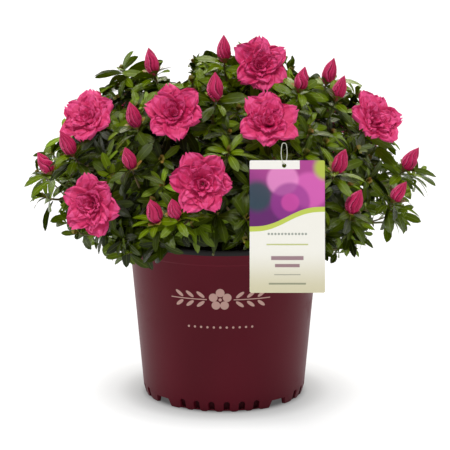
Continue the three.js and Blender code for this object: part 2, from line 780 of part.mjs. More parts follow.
function tagGeometry() {
  const [half, c] = [TAG_WIDTH / 2, TAG_CORNER];
  const card = new THREE.Shape([
    new THREE.Vector2(-half + c, 0),
    new THREE.Vector2(half - c, 0),
    new THREE.Vector2(half, c),
    new THREE.Vector2(half, TAG_HEIGHT - c),
    new THREE.Vector2(half - c, TAG_HEIGHT),
    new THREE.Vector2(-half + c, TAG_HEIGHT),
    new THREE.Vector2(-half, TAG_HEIGHT - c),
    new THREE.Vector2(-half, c),
  ]);
  const hole = Array.from({ length: 10 }, (_, i) => {
    const turn = (2 * Math.PI * i) / 10;
    return new THREE.Vector2(
      TIE_POINT.x - TAG_FOOT.x + TAG_HOLE_RADIUS * Math.sin(turn),
      TAG_HEIGHT - TAG_HOLE_DROP + TAG_HOLE_RADIUS * Math.cos(turn),
    );
  });
  card.holes.push(new THREE.Path(hole));
  const plate = new THREE.ExtrudeGeometry(card, { depth: TAG_THICKNESS, bevelEnabled: false });
  return place(plate, new THREE.Vector3(1, 0, 0), tagUpward, tagOutward, TAG_FOOT);
}

// Tie: a closed loop through the card's hole and over the twig, one strand on each side of the card
function tieGeometry() {
  const seat = TAG_HEIGHT - TAG_HOLE_DROP + TAG_HOLE_RADIUS - TIE_RADIUS - CLEARANCE - 0.3;
  const onTag = (across, up, out) =>
    new THREE.Vector3(TIE_POINT.x + across, TAG_FOOT.y, TAG_FOOT.z)
      .addScaledVector(tagUpward, up)
      .addScaledVector(tagOutward, out + TAG_THICKNESS / 2);
  const over = TWIG_RADIUS + TIE_RADIUS + CLEARANCE + 0.2;
  const past = (across, up) => TIE_POINT.clone().add(new THREE.Vector3(across, 0, up));
  const loop = new THREE.CatmullRomCurve3(
    [
      onTag(0.3, seat, -1.3),
      onTag(-0.3, seat, 1.3),
      onTag(-TIE_SPREAD * 0.5, TAG_HEIGHT - 3, 2.4),
      onTag(-TIE_SPREAD, TAG_HEIGHT + 7, 2),
      past(-over, 0.6),
      past(-over * 0.72, over * 0.72),
      past(0, over),
      past(over * 0.72, over * 0.72),
      past(over, 0.6),
      onTag(TIE_SPREAD, TAG_HEIGHT + 7, -2),
      onTag(TIE_SPREAD * 0.5, TAG_HEIGHT - 3, -2.4),
    ],
    true,
  );
  const shares = Array.from({ length: TIE_STEPS }, (_, i) => i / TIE_STEPS);
  return tube(
    shares.map((share) => loop.getPoint(share)),
    shares.map((share) => loop.getTangent(share)),
    shares.map(() => TIE_RADIUS),
    4,
    true,
  );
}

// Materials and the finished group

const finish = (color, roughness) => new THREE.MeshStandardMaterial({ color, roughness, metalness: 0 });
const POT_PLASTIC = finish(0x5a1f2a, 0.5);
const SOIL = finish(0x2b211a, 1);
const BARK = finish(0x5b4433, 0.9);
const FOLIAGE = finish(0x3c5a1e, 0.5);
const CARD = finish(0xf3efe4, 0.6);
const TIE = finish(0xf6f6f4, 0.5);

const azalea = new THREE.Group();
function add(name, geometry, material) {
  const mesh = new THREE.Mesh(geometry, material);
  mesh.name = name;
  azalea.add(mesh);
}

growBoughs();
const shoots = allShoots();
add("pot", potGeometry(), POT_PLASTIC);
add("soil", soilGeometry(), SOIL);
add("main_stem", stemGeometry(), BARK);
for (const mass of crown) {
  add(`bough_${mass.name}`, mass.bough, BARK);
  add(`foliage_${mass.name}`, massGeometry(mass, shoots), FOLIAGE);
}
add("hang_tag", tagGeometry(), CARD);
add("hang_tag_tie", tieGeometry(), TIE);

export default azalea;
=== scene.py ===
"""The looks of a potted azalea: a low, rounded shrub in bud and bloom, in a nursery pot, with a hang tag.

Metres, +Z up. The origin is the middle of the pot's foot, and the side that is seen first faces -Y.
"""

import bpy
import numpy as np
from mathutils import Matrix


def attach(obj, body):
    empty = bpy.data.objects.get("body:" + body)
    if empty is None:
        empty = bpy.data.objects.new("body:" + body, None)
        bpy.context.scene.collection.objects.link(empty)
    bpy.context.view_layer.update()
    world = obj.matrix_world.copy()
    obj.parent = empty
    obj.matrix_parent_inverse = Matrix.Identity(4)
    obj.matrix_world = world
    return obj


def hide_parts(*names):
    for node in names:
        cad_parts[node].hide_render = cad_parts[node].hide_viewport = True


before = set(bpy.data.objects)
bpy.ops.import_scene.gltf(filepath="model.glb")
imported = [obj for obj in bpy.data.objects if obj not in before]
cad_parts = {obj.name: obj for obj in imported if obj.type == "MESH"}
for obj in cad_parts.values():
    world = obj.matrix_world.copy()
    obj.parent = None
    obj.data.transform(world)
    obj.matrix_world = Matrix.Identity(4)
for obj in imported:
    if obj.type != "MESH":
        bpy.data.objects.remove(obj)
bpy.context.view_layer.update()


# Camera, floor and light
# The camera stands 2.5 m in front and 0.78 m up and looks a little down through a long lens. The
# floor is one pale sheet that reaches out of the view and glows, with a painted shadow round the pot's
# foot, under a pale sky and four soft suns.
CAMERA_PLACE = (0, -2.543, 0.780)
CAMERA_PITCH = 78.35
LENS = 138.2
SENSOR = 36
SHIFT = 0.0022
SKY_TINT = (0.98, 0.99, 1, 1)
SKY_STRENGTH = 0.14
FLOOR_HALF = 30
FLOOR_GLOW = 0.9
DARKEST_PAINTED_SHADOW = 0.10

scene = bpy.context.scene
scene.view_settings.view_transform = "Standard"
camera = bpy.data.objects.new("camera", bpy.data.cameras.new("camera"))
camera.location = CAMERA_PLACE
camera.rotation_euler = (np.radians(CAMERA_PITCH), 0, 0)
camera.data.lens = LENS
camera.data.sensor_width = SENSOR
camera.data.shift_x = SHIFT
scene.collection.objects.link(camera)
scene.camera = camera

sky = bpy.data.worlds.new("sky")
sky.use_nodes = True
sky_light = sky.node_tree.nodes["Background"].inputs
sky_light["Color"].default_value = SKY_TINT
sky_light["Strength"].default_value = SKY_STRENGTH
scene.world = sky


def add_sun(name, azimuth, elevation, strength, softness, tint):
    """A sun that shines from this azimuth and elevation, as wide as the softness in degrees."""
    sun = bpy.data.objects.new(name, bpy.data.lights.new(name, "SUN"))
    sun.rotation_euler = (np.radians(90 - elevation), 0, np.radians(azimuth + 90))
    sun.data.energy = strength
    sun.data.angle = np.radians(softness)
    sun.data.color = tint
    scene.collection.objects.link(sun)


add_sun("key_light", -102, 64, 3.3, 22, (1, 0.985, 0.96))
add_sun("back_light", 84, 46, 2.8, 40, (1, 0.95, 0.86))
add_sun("left_rim_light", 158, 14, 0.9, 26, (1, 1, 1))
add_sun("right_rim_light", 22, 14, 0.7, 26, (1, 1, 1))


def colour(code):
    """The linear colour of a hex code: each channel c of 0 to 1 becomes ((c + 0.055) / 1.055) ** 2.4."""
    channels = np.array([int(code[i : i + 2], 16) for i in (0, 2, 4)]) / 255
    linear = np.where(channels > 0.04045, ((channels + 0.055) / 1.055) ** 2.4, channels / 12.92)
    return (*linear.tolist(), 1)


class Shade:
    """One output of a material's nodes. Each operator on it adds a Math node."""

    def __init__(self, tree, output=None):
        self.tree = tree
        self.output = output

    def node(self, kind, settings=None, inputs=None, output=0):
        """A new node of a kind: its settings are set first, then its sockets' values or links."""
        made = self.tree.nodes.new(kind)
        for name, value in (settings or {}).items():
            setattr(made, name, value)
        for name, value in (inputs or {}).items():
            if isinstance(value, Shade):
                self.tree.links.new(value.output, made.inputs[name])
            else:
                made.inputs[name].default_value = value
        return Shade(self.tree, made.outputs[output] if made.outputs else None)

    def math(self, operation, first, second=0):
        """A Math node's result. An operation on one value ignores the second."""
        return self.node("ShaderNodeMath", {"operation": operation}, {0: first, 1: second})

    def __add__(self, other):
        return self.math("ADD", self, other)

    def __radd__(self, other):
        return self.math("ADD", other, self)

    def __sub__(self, other):
        return self.math("SUBTRACT", self, other)

    def __rsub__(self, other):
        return self.math("SUBTRACT", other, self)

    def __mul__(self, other):
        return self.math("MULTIPLY", self, other)

    def __rmul__(self, other):
        return self.math("MULTIPLY", other, self)

    def __pow__(self, other):
        return self.math("POWER", self, other)

    def __mod__(self, other):
        return self.math("MODULO", self, other)

    def __abs__(self):
        return self.math("ABSOLUTE", self)


def finish(name, recipe):
    """A material whose shader takes the values and links that the recipe makes from Object coordinates."""
    made = bpy.data.materials.new(name)
    made.use_nodes = True
    made.node_tree.nodes.clear()
    start = Shade(made.node_tree)
    place = start.node("ShaderNodeTexCoord", output="Object")
    shader = start.node("ShaderNodeBsdfPrincipled", inputs=recipe(place))
    start.node("ShaderNodeOutputMaterial", inputs={"Surface": shader})
    return made


def grain(place, scale, detail=2.0):
    """Noise of 0 to 1 whose blotches are about 1 / scale metres across."""
    return place.node("ShaderNodeTexNoise", inputs={"Vector": place, "Scale": scale, "Detail": detail})


def ramp(value, low, high):
    """A smooth step from 0 where the value is low to 1 where it is high."""
    limits = {0: value, 1: low, 2: high}
    return value.node("ShaderNodeMapRange", {"interpolation_type": "SMOOTHSTEP"}, limits)


def blend(share, none, full):
    """The colour at a share of the way from one colour to another, each a shade or a hex code."""
    none, full = (colour(tint) if isinstance(tint, str) else tint for tint in (none, full))
    return share.node("ShaderNodeMix", {"data_type": "RGBA"}, {0: share, 6: none, 7: full}, output=2)


def relief(height, distance):
    """A normal that is tilted by a height of 0 to 1 over this distance in metres."""
    return height.node("ShaderNodeBump", inputs={"Height": height, "Distance": distance})


# The pot's painted shadow on the floor: where a band of it starts and ends from the pot's axis, and its
# share.
PAINTED_SHADOW_BANDS = [(0.108, 0.130, 0.38), (0.118, 0.170, 0.26), (0.140, 0.225, 0.26)]


def floor_recipe(place):
    """White paper that glows as if from below, with the pot's shadow painted into its glow as a soft round
    patch by the pot.
    """
    away = place.node("ShaderNodeVectorMath", {"operation": "LENGTH"}, {0: place}, output=1)
    # Painted shadow: the glow is dimmest under the pot and rises to full away from its foot.
    painted_light = sum(share * ramp(away, near, far) for near, far, share in PAINTED_SHADOW_BANDS) + DARKEST_PAINTED_SHADOW
    return {
        "Base Color": blend(grain(place, 3), "5c5c5c", "626262"),
        "Roughness": 0.9,
        "Emission Color": blend(painted_light, "000000", "ffffff"),
        "Emission Strength": FLOOR_GLOW,
    }


floor_mesh = bpy.data.meshes.new("floor")
floor_corners = np.array([[-1, -1, 0], [1, -1, 0], [1, 1, 0], [-1, 1, 0]]) * FLOOR_HALF
floor_mesh.from_pydata(floor_corners.tolist(), [], [[0, 1, 2, 3]])
floor_mesh.materials.append(finish("pale_floor", floor_recipe))
floor = bpy.data.objects.new("floor", floor_mesh)
scene.collection.objects.link(floor)


# Nursery pot
# An injection-moulded 12 litre pot, satin burgundy outside, with a black lip and inside. It stands on
# four feet with an open slot between each two, and each foot has six small arched flutes.
POT_HEIGHT = 0.248
FOOT_RADIUS = 0.120
FOOT_FLARE = 0.1226
FLARE_HEIGHT = 0.012
WALL_TOP_RADIUS = 0.1411
WALL_TOP = 0.224
WALL_FOOT = 0.022
FOOT_TOP = 0.018
FOOT_INSIDE = 0.114
FOOT_EDGES = [0.1143, 0.1148]
FLOOR_UNDERSIDE = 0.015
FLOOR_TOP = 0.018
HUB = 0.002
FOOT_TURN = -3.4
SLOT_HALF = 0.0126
SLOT_SLANT = 0.0040
SLOT_RISE = 0.0120
FLUTE_SPACING = 10.6
FLUTE_HALF = 0.0047
FLUTE_RISE = 0.0168
FLUTE_DEPTH = 0.0056
FLUTE_ROUNDING = 0.24
FLUTE_SHADED_FROM = 0.6
SILL = 0.0004
SILL_ROUNDING = 0.0012
LOBE_RISE = 0.0018
LOBE_WIDTH = 1.9
POT_COLUMNS = 1200
# From the wall's top over the band and the lip, and down the inside to the floor: radius and height.
BAND = [(0.1412, 0.2245), (0.1421, 0.2255), (0.1424, 0.2270), (0.14285, 0.2396)]
LIP = [
    (0.1430, 0.2399), (0.1441, 0.2402), (0.1445, 0.2410), (0.1445, 0.2470), (0.1442, 0.2477),
    (0.1434, 0.2480), (0.1408, 0.2480), (0.1401, 0.2476), (0.1398, 0.2468), (0.1382, 0.2240),
]
FLOOR_CORNER = [(0.1190, FLOOR_TOP + 0.002), (0.1170, FLOOR_TOP)]


def grid_faces(rows, columns, wrap=False):
    """The quads between a grid's points, numbered row by row. Wrap joins its last column to its first."""
    row, column = np.mgrid[0 : rows - 1, 0 : columns if wrap else columns - 1]
    after = (column + 1) % columns
    corners = [row * columns + column, row * columns + after, (row + 1) * columns + after]
    return np.stack([*corners, (row + 1) * columns + column], axis=-1).reshape(-1, 4)


def copies(faces, count, points_each):
    """One item's faces, repeated for each of several items whose points follow one another."""
    return (faces + np.arange(count)[:, None, None] * points_each).reshape(-1, faces.shape[1])


def closed_faces(rings, columns, count=1):
    """The faces of closed tubes: all their quads, then the lids on their feet, then those on their tops."""
    ring = np.arange(columns)[None]
    parts = [grid_faces(rings, columns, wrap=True), ring[:, ::-1], (rings - 1) * columns + ring]
    return [copies(part, count, rings * columns) for part in parts]


def add_piece(name, points, faces, finishes, slot, kinds=None, smooth=True, stands_for=()):
    """A piece from points, arrays of faces and finishes. Kinds numbers the finish of each face."""
    mesh = bpy.data.meshes.new(name)
    points = np.ascontiguousarray(points, dtype=np.float32).reshape(-1, 3)
    corners = np.concatenate([block.ravel() for block in faces])
    sizes = np.concatenate([np.full(len(block), block.shape[1]) for block in faces])
    mesh.vertices.add(len(points))
    mesh.vertices.foreach_set("co", points.ravel())
    mesh.loops.add(len(corners))
    mesh.loops.foreach_set("vertex_index", corners.astype(np.int32))
    mesh.polygons.add(len(sizes))
    mesh.polygons.foreach_set("loop_start", (np.cumsum(sizes) - sizes).astype(np.int32))
    if kinds is not None:
        mesh.polygons.foreach_set("material_index", np.asarray(kinds).astype(np.int32))
    mesh.polygons.foreach_set("use_smooth", np.full(len(sizes), smooth))
    mesh.update(calc_edges=True)
    for made in finishes:
        mesh.materials.append(made)
    made = bpy.data.objects.new(name, mesh)
    scene.collection.objects.link(made)
    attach(made, "root")
    if stands_for:
        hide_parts(*stands_for)
    return made


def smooth_step(value, start=0, width=1):
    """3 t squared less 2 t cubed, where t is how far the value is past the start as a share of the width,
    held between 0 and 1. With a negative width it falls off downwards."""
    t = np.clip((value - start) / width, 0, 1)
    return t * t * (3 - 2 * t)


def lathe(radius, height, turn):
    """Points at each radius and height, turned round the axis."""
    return np.stack([radius * np.cos(turn), radius * np.sin(turn), height + 0 * turn], axis=-1)


def turn_from(angles, centres):
    """How far each angle is from the nearest of the centres, in radians."""
    away = (angles[:, None] - centres[None, :] + np.pi) % (2 * np.pi) - np.pi
    return np.abs(away).min(axis=1)


def wall_radius(height):
    """The outside of the wall: it widens evenly to its top, and below the flare it draws in."""
    above = np.interp(height, [FLARE_HEIGHT, WALL_TOP], [FOOT_FLARE, WALL_TOP_RADIUS])
    below = np.interp(height, [0, FLARE_HEIGHT], [FOOT_RADIUS - 0.001, FOOT_FLARE])
    return np.where(height < FLARE_HEIGHT, below, above)


def pot_surface():
    """Rings of radius and height round the axis: the foot's bottom edge lifts over the slots, and the
    foot's outside is pressed in by upright flutes with a round top and a thin sill. A point is in a flute
    where it is less than the flute's half width from the flute's middle line."""
    turn = np.linspace(0, 2 * np.pi, POT_COLUMNS, endpoint=False)
    feet = np.radians(FOOT_TURN - 90 + 90 * np.arange(4))
    flutes = (feet[:, None] + np.radians(FLUTE_SPACING) * (np.arange(6) - 2.5)).ravel()
    slot_away = turn_from(turn, feet + np.pi / 4) * FOOT_RADIUS
    flute_away = turn_from(turn, flutes) * FOOT_RADIUS / FLUTE_HALF
    edge = SLOT_RISE * smooth_step(slot_away, SLOT_HALF + SLOT_SLANT, -SLOT_SLANT)
    edge = np.maximum(edge, LOBE_RISE * smooth_step(flute_away, LOBE_WIDTH, -1))
    inside_z = FLOOR_UNDERSIDE - np.linspace(0, 1, 6)[:, None] * (FLOOR_UNDERSIDE - edge)
    foot_z = edge + np.linspace(0.03, 1, 22)[:, None] * (FOOT_TOP - edge)
    over_arch = np.maximum(0, foot_z - FLUTE_RISE + FLUTE_HALF) / FLUTE_HALF
    pressed = smooth_step(np.hypot(flute_away, over_arch), 1, -FLUTE_ROUNDING)
    pressed = pressed * smooth_step(foot_z - edge, SILL, SILL_ROUNDING)
    wall_z = np.linspace(WALL_FOOT, WALL_TOP - 0.0005, 12)[:, None] + 0 * turn
    over_lip = np.array(BAND + LIP + FLOOR_CORNER)[:, :, None]
    level = np.ones((1, POT_COLUMNS))
    foot_edges = np.array(FOOT_EDGES)[:, None]
    radius = np.concatenate([
        HUB * level, FOOT_INSIDE * np.ones_like(inside_z), foot_edges * level,
        wall_radius(foot_z) - FLUTE_DEPTH * pressed, wall_radius(wall_z), over_lip[:, 0] * level,
        HUB * level,
    ])
    height = np.concatenate([
        FLOOR_UNDERSIDE * level, inside_z, [edge, edge], foot_z, wall_z, over_lip[:, 1] * level,
        FLOOR_TOP * level,
    ])
    kinds = np.zeros((len(radius) - 1, POT_COLUMNS))
    kinds[len(radius) - len(over_lip) + len(BAND) - 2 :] = 1
    foot_start = 1 + len(inside_z) + len(FOOT_EDGES)
    foot_rows = slice(foot_start, foot_start + len(foot_z) - 1)
    # Faces deep in a flute take the darker finish, painted shade for the shade inside the flute.
    kinds[foot_rows] = 2 * (np.minimum(pressed[1:], pressed[:-1]) > FLUTE_SHADED_FROM)
    points = lathe(radius, height, turn)
    return points, closed_faces(*radius.shape), np.concatenate([kinds.ravel(), [0, 1]])


# The ornament on the pot's front, printed in pale pink: from the pot's foot up, and round it. Its
# leaves are ellipses that lean away from the blossom by the cosine and sine of LEAF_LEAN.
PRINT_TURN = -2.3
PRINT_RADIUS = 0.135
PRINT_EDGE = 0.0002
PRINT_HEIGHT = 0.174
PRINT_REACH = 0.068
BLOSSOM_PETALS = 5
BLOSSOM_PETAL_AT = 0.0104
BLOSSOM_PETAL_RADIUS = 0.0062
SEEDS_RADIUS = 0.0024
SEEDS_CLEAR = 0.0040
STEM_FROM = 0.0190
STEM_HALF = 0.0007
STEM_PAST_LEAVES = 0.006
LEAVES_FROM = 0.021
LEAF_PAIR = 0.0160
LEAF_UP = 0.0070
LEAF_HALF = 0.0025
LEAF_LEAN = (0.80, 0.60)
LEAF_SLENDER = 0.36
DOTS_HEIGHT = 0.132
DOTS_REACH = 0.052
DOT_SPACING = 0.0095
DOT_RADIUS = 0.0017


def ornament(place):
    """How much of the print covers each place: a blossom of five round petals, a stem on each side of it
    with pairs of slender leaves, and a row of dots below."""
    parts = place.node("ShaderNodeSeparateXYZ", inputs={"Vector": place})
    x, y, z = (Shade(place.tree, socket) for socket in parts.output.node.outputs)
    across = (x.math("ARCTAN2", x, 0 - y) - float(np.radians(PRINT_TURN))) * PRINT_RADIUS
    aside = abs(across)
    up = z - PRINT_HEIGHT
    over = abs(up)

    def inside(distance):
        return 1 - ramp(distance, -PRINT_EDGE, PRINT_EDGE)

    def length(a, b):
        return (a * a + b * b) ** 0.5

    from_middle = length(aside, up)
    share = 2 * np.pi / BLOSSOM_PETALS
    around = up.math("ARCTAN2", up, across) + (2 * np.pi + share / 4)
    fold = around % share - share / 2
    along_petal = from_middle * fold.math("COSINE", fold) - BLOSSOM_PETAL_AT
    beside_petal = from_middle * fold.math("SINE", fold)
    petals = inside(length(along_petal, beside_petal) - BLOSSOM_PETAL_RADIUS)
    petals = petals * ramp(from_middle, SEEDS_CLEAR, SEEDS_CLEAR + 2 * PRINT_EDGE)
    seeds = inside(from_middle - SEEDS_RADIUS)
    stem = inside(over - STEM_HALF) * ramp(aside, STEM_FROM, STEM_FROM + PRINT_EDGE)
    stem = stem * inside(aside - PRINT_REACH - STEM_PAST_LEAVES)
    from_pair = (aside - LEAVES_FROM) % LEAF_PAIR - LEAF_PAIR * 0.45
    along_leaf = (from_pair * LEAF_LEAN[0] + (over - LEAF_UP) * LEAF_LEAN[1]) * LEAF_SLENDER
    beside_leaf = (over - LEAF_UP) * LEAF_LEAN[0] - from_pair * LEAF_LEAN[1]
    within = ramp(aside, LEAVES_FROM, LEAVES_FROM + PRINT_EDGE) * inside(aside - PRINT_REACH)
    leaves = inside(length(along_leaf, beside_leaf) - LEAF_HALF) * within
    from_dot = (aside + DOT_SPACING / 2) % DOT_SPACING - DOT_SPACING / 2
    dots = inside(length(from_dot, z - DOTS_HEIGHT) - DOT_RADIUS) * inside(aside - DOTS_REACH)
    return petals + seeds + stem + leaves + dots


def surface(tint, roughness, normal, gloss=0.5, glow=None):
    """The shader's inputs for a colour, how rough and glossy it is, its relief and, if any, a painted glow
    in its own colour.
    """
    inputs = {"Base Color": tint, "Roughness": roughness, "Specular IOR Level": gloss, "Normal": normal}
    if glow is not None:
        inputs.update({"Emission Color": tint, "Emission Strength": glow})
    return inputs


def burgundy_recipe(place):
    """Satin burgundy plastic: faint clouding from the melt, a fine moulded grain and a few dull rubs,
    with the ornament printed on it."""
    rubs = ramp(grain(place, 26, 5), 0.55, 0.75)
    plastic = blend(grain(place, 9, 3), "570a1a", "610e21")
    printed = ornament(place)
    tint = blend(printed.math("MINIMUM", printed, 1), plastic, "d0a89e")
    return surface(tint, 0.42 + 0.10 * rubs, relief(grain(place, 900, 2), 0.00012), gloss=0.12)


def mottled(mottle, low, high, roughness, fine, depth, gloss=0.5):
    """A recipe for a matt surface: its colour drifts between two by one grain, and another, fine grain of
    this depth roughens it. A grain is given by its scale and detail."""

    def recipe(place):
        tint = blend(grain(place, *mottle), low, high)
        return surface(tint, roughness, relief(grain(place, *fine), depth), gloss)

    return recipe


def black_recipe(place):
    """The same plastic in black, dustier on the inside."""
    dust = grain(place, 60, 4)
    tint = blend(dust, "0a090a", "151313")
    return surface(tint, 0.28 + 0.2 * dust, relief(grain(place, 700, 2), 0.00015), gloss=0.22)


# The burgundy plastic in the flutes is painted darker: painted shade for the shade that falls in them.
painted_shade_recipe = mottled((240, 3), "30060e", "440a16", 0.6, (900, 2), 0.00012, gloss=0.1)
pot_points, pot_faces, pot_kinds = pot_surface()
pot_finishes = [
    finish("pot_burgundy", burgundy_recipe),
    finish("pot_black", black_recipe),
    finish("pot_recess_painted_shade", painted_shade_recipe),
]
add_piece("nursery_pot", pot_points, pot_faces, pot_finishes, "pot_plastic", pot_kinds, stands_for=["pot"])


# Soil
# A peat and bark potting mix that fills the pot to a little under its rim, slightly crowned, with
# crumbs and chips of bark on its top.
SOIL_RADIUS = 0.1366
SOIL_TOP = 0.2255
SOIL_CROWNING = 0.0045
SOIL_FOOT = 0.0185
SOIL_FOOT_RADIUS = 0.1172
SOIL_SHOULDER = 0.212
SOIL_COLUMNS = 200
CHIPS = 1300
CHIP_LEAST = [0.004, 0.002, 0.001]
CHIP_MOST = [0.012, 0.006, 0.0026]
CHIPS_REACH = 0.94
CHIP_LIFT = 0.0006
rng = np.random.default_rng(11)


def soil_height(x, y):
    """A crowned top with lumps: three products of sines, each finer and lower than the last."""
    crowned = SOIL_TOP - SOIL_CROWNING * (x * x + y * y) / SOIL_RADIUS**2
    lumps = 0.0010 * np.sin(161 * x + 2) * np.sin(173 * y) + 0.0006 * np.sin(410 * x) * np.sin(377 * y + 1)
    return crowned + lumps + 0.0004 * np.sin(903 * x + 300 * y) * np.sin(871 * y - 250 * x)


def soil_surface():
    """Rings from the soil's foot up its side, and then inwards over its top."""
    turn = np.linspace(0, 2 * np.pi, SOIL_COLUMNS, endpoint=False)
    shares = np.linspace(1, 0.01, 60)[:, None]
    x = SOIL_RADIUS * shares * np.cos(turn)
    y = SOIL_RADIUS * shares * np.sin(turn)
    top = np.stack([x, y, soil_height(x, y)], axis=-1)
    side = top[:1] * [1, 1, 0] + [0, 0, SOIL_SHOULDER]
    points = np.concatenate([lathe(SOIL_FOOT_RADIUS, SOIL_FOOT, turn)[None], side, top])
    return points, closed_faces(len(points), SOIL_COLUMNS)


def soil_recipe(place):
    """Dark damp peat: crumbs of several browns, with a rough broken surface."""
    crumbs = grain(place, 420, 5)
    tint = blend(ramp(crumbs, 0.35, 0.7), "1d150f", "4a3626")
    tint = blend(ramp(grain(place, 60, 3), 0.4, 0.8), tint, "32251a")
    return surface(tint, 0.95, relief(crumbs, 0.004))


def unit(vectors):
    """Each vector divided by its length."""
    return vectors / np.maximum(np.linalg.norm(vectors, axis=-1, keepdims=True), 1e-12)


def soil_chips():
    """Small bent boxes: eight corners at plus or minus half of each size, shaken a little and turned."""
    signs = np.array([[x, y, z] for z in (-1, 1) for y in (-1, 1) for x in (-1, 1)], float)
    sizes = rng.uniform(CHIP_LEAST, CHIP_MOST, (CHIPS, 3))
    corners = signs * sizes[:, None] / 2 * rng.uniform(0.6, 1.2, (CHIPS, 8, 1))
    along = unit(rng.normal(size=(CHIPS, 3)) * [1, 1, 0.25])
    across = unit(np.cross(along, rng.normal(size=(CHIPS, 3)) * [0.3, 0.3, 1]))
    turned = np.stack([along, across, np.cross(along, across)], axis=1)
    radius = SOIL_RADIUS * CHIPS_REACH * np.sqrt(rng.uniform(size=CHIPS))
    turn = rng.uniform(0, 2 * np.pi, CHIPS)
    x = radius * np.cos(turn)
    y = radius * np.sin(turn)
    places = np.stack([x, y, soil_height(x, y) + CHIP_LIFT], axis=-1)
    points = np.einsum("nij,njk->nik", corners, turned) + places[:, None]
    box = np.array([[0, 2, 3, 1], [4, 5, 7, 6], [0, 1, 5, 4], [2, 6, 7, 3], [0, 4, 6, 2], [1, 3, 7, 5]])
    return points, [copies(box, CHIPS, 8)]


# Chips of composted bark are from near black to a dusty brown.
chip_recipe = mottled((130, 3), "2a1c13", "6b4c35", 0.9, (900, 4), 0.0012)
add_piece("potting_soil", *soil_surface(), [finish("peat", soil_recipe)], "soil", stands_for=["soil"])
add_piece("bark_chips", *soil_chips(), [finish("bark_chip", chip_recipe)], "soil", smooth=False)


# Stem and boughs
# A short grey-brown trunk, flared at the soil and forked at its top. Six main boughs rise from it, and
# side boughs leave them for the other masses of the crown. The bark is finely ridged along the wood.
CROWN_CENTRE = np.array([0, 0, 0.300])
CROWN_REACH = 0.315
CROWN_RISE = 0.241
CROWN_DROP = 0.110
BOUGH_END = 0.42
STEM_TOP = 0.264
FORK_RING = 0.0084
MAIN_SPAN = 0.38
SIDE_SPAN = 0.3
SIDE_STARTS = [2 / 6, 3 / 6, 4 / 6, 5 / 6]
# A bough's radius at its start and how much it loses, and the swelling where it leaves.
MAIN_BOUGH = (0.0041, 0.0015)
SIDE_BOUGH = (0.0028, 0.0006)
COLLAR = 0.0016
TRUNK_RINGS = 40
TRUNK_COLUMNS = 48
UP = np.array([0.0, 0.0, 1.0])
# Radius and height of the trunk, from its foot in the soil to its fork.
TRUNK = [
    (0.0185, 0.2200), (0.0170, 0.2262), (0.0136, 0.2345), (0.0117, 0.2450), (0.0118, 0.2540),
    (0.0125, 0.2620), (0.0118, 0.2655), (0.0085, 0.2680), (0.0030, 0.2690),
]
# Of one half of the crown: each mass's azimuth and elevation, the mass whose bough carries its own
# bough, and the azimuth and elevation that its bloom faces. The far half is turned by 180 degrees, and
# one of its masses has no bloom.
MASSES = {
    "low_middle": ((-96, 14), None, (-92, 12)),
    "low_left": ((-129, 6), "low_middle", (-113, 8)),
    "low_side": ((-161, 7), "low_middle", None),
    "low_right": ((-60, 5), "low_middle", None),
    "low_corner": ((-28, 5), "low_middle", None),
    "top_left": ((-136, 60), None, None),
    "upper_left": ((-147, 31), "top_left", (-122, 42)),
    "upper_middle": ((-109, 36), "top_left", (-100, 30)),
    "top_right": ((-62, 62), None, (-80, 24)),
    "upper_centre": ((-74, 33), "top_right", (-84, 40)),
    "upper_right": ((-24, 29), "top_right", (-56, 40)),
}
WITHOUT_FAR_BLOOM = "top_right"


def direction(azimuth, elevation):
    """The unit vectors with these azimuths, from +X towards +Y, and elevations, in degrees."""
    azimuth, elevation = np.radians(azimuth), np.radians(elevation)
    flat = np.cos(elevation)
    return np.stack([flat * np.cos(azimuth), flat * np.sin(azimuth), np.sin(elevation) + 0 * azimuth], -1)


def chance(item, draw):
    """A number of 0 to 1 that depends only on an item's number and a draw's number."""
    value = np.sin(item * 12.9898 + draw * 78.233) * 43758.5453
    return value - np.floor(value)


def skin(towards):
    """How far the crown's skin, a dome over a shallow bowl, is from the crown's centre."""
    vertical = np.where(towards[..., 2] > 0, CROWN_RISE, CROWN_DROP)
    flat = np.hypot(towards[..., 0], towards[..., 1]) / CROWN_REACH
    return 1 / np.hypot(flat, towards[..., 2] / vertical)


def in_crown(towards, share):
    """The points at a share of the way from the crown's centre to its skin."""
    return CROWN_CENTRE + towards * (skin(towards) * share)[..., None]


def bezier(first, second, third, fourth, shares):
    """Cubic curves: each point is the sum of its four points, weighed by the terms of (1 - t + t) ** 3."""
    t = shares[:, None]
    weights = [(1 - t) ** 3, 3 * t * (1 - t) ** 2, 3 * t * t * (1 - t), t**3]
    return sum(w * p[..., None, :] for w, p in zip(weights, (first, second, third, fourth)))


def spokes(side, other, turn):
    """Directions out from an axis: the cosine of each turn along one side, its sine along the other."""
    return side * np.cos(turn)[..., None] + other * np.sin(turn)[..., None]


def tubes(paths, radii, sides, bark=0.0):
    """Tubes round many paths: a ring's corner is its path's point plus the radius times the cosine and
    the sine of the turn along two directions square to the path. Bark adds fine ridges to the radius."""
    count, steps, _ = paths.shape
    along = unit(np.gradient(paths, axis=1))
    chord = np.abs(unit(paths[:, -1] - paths[:, 0]))
    helper = np.eye(3)[chord.argmin(axis=1)][:, None]
    side = unit(np.cross(helper, along))
    other = np.cross(along, side)
    turn = 2 * np.pi * np.arange(sides) / sides
    step = np.arange(steps)[:, None]
    ridges = np.sin(3 * turn + 0.9 * step) + 0.7 * np.sin(5 * turn - 0.5 * step) * np.sin(1.7 * step)
    wide = radii[..., None] * (1 + bark * ridges)
    ring = spokes(side[:, :, None], other[:, :, None], turn)
    points = paths[:, :, None] + wide[..., None] * ring
    return points.reshape(-1, 3), closed_faces(steps, sides, count)


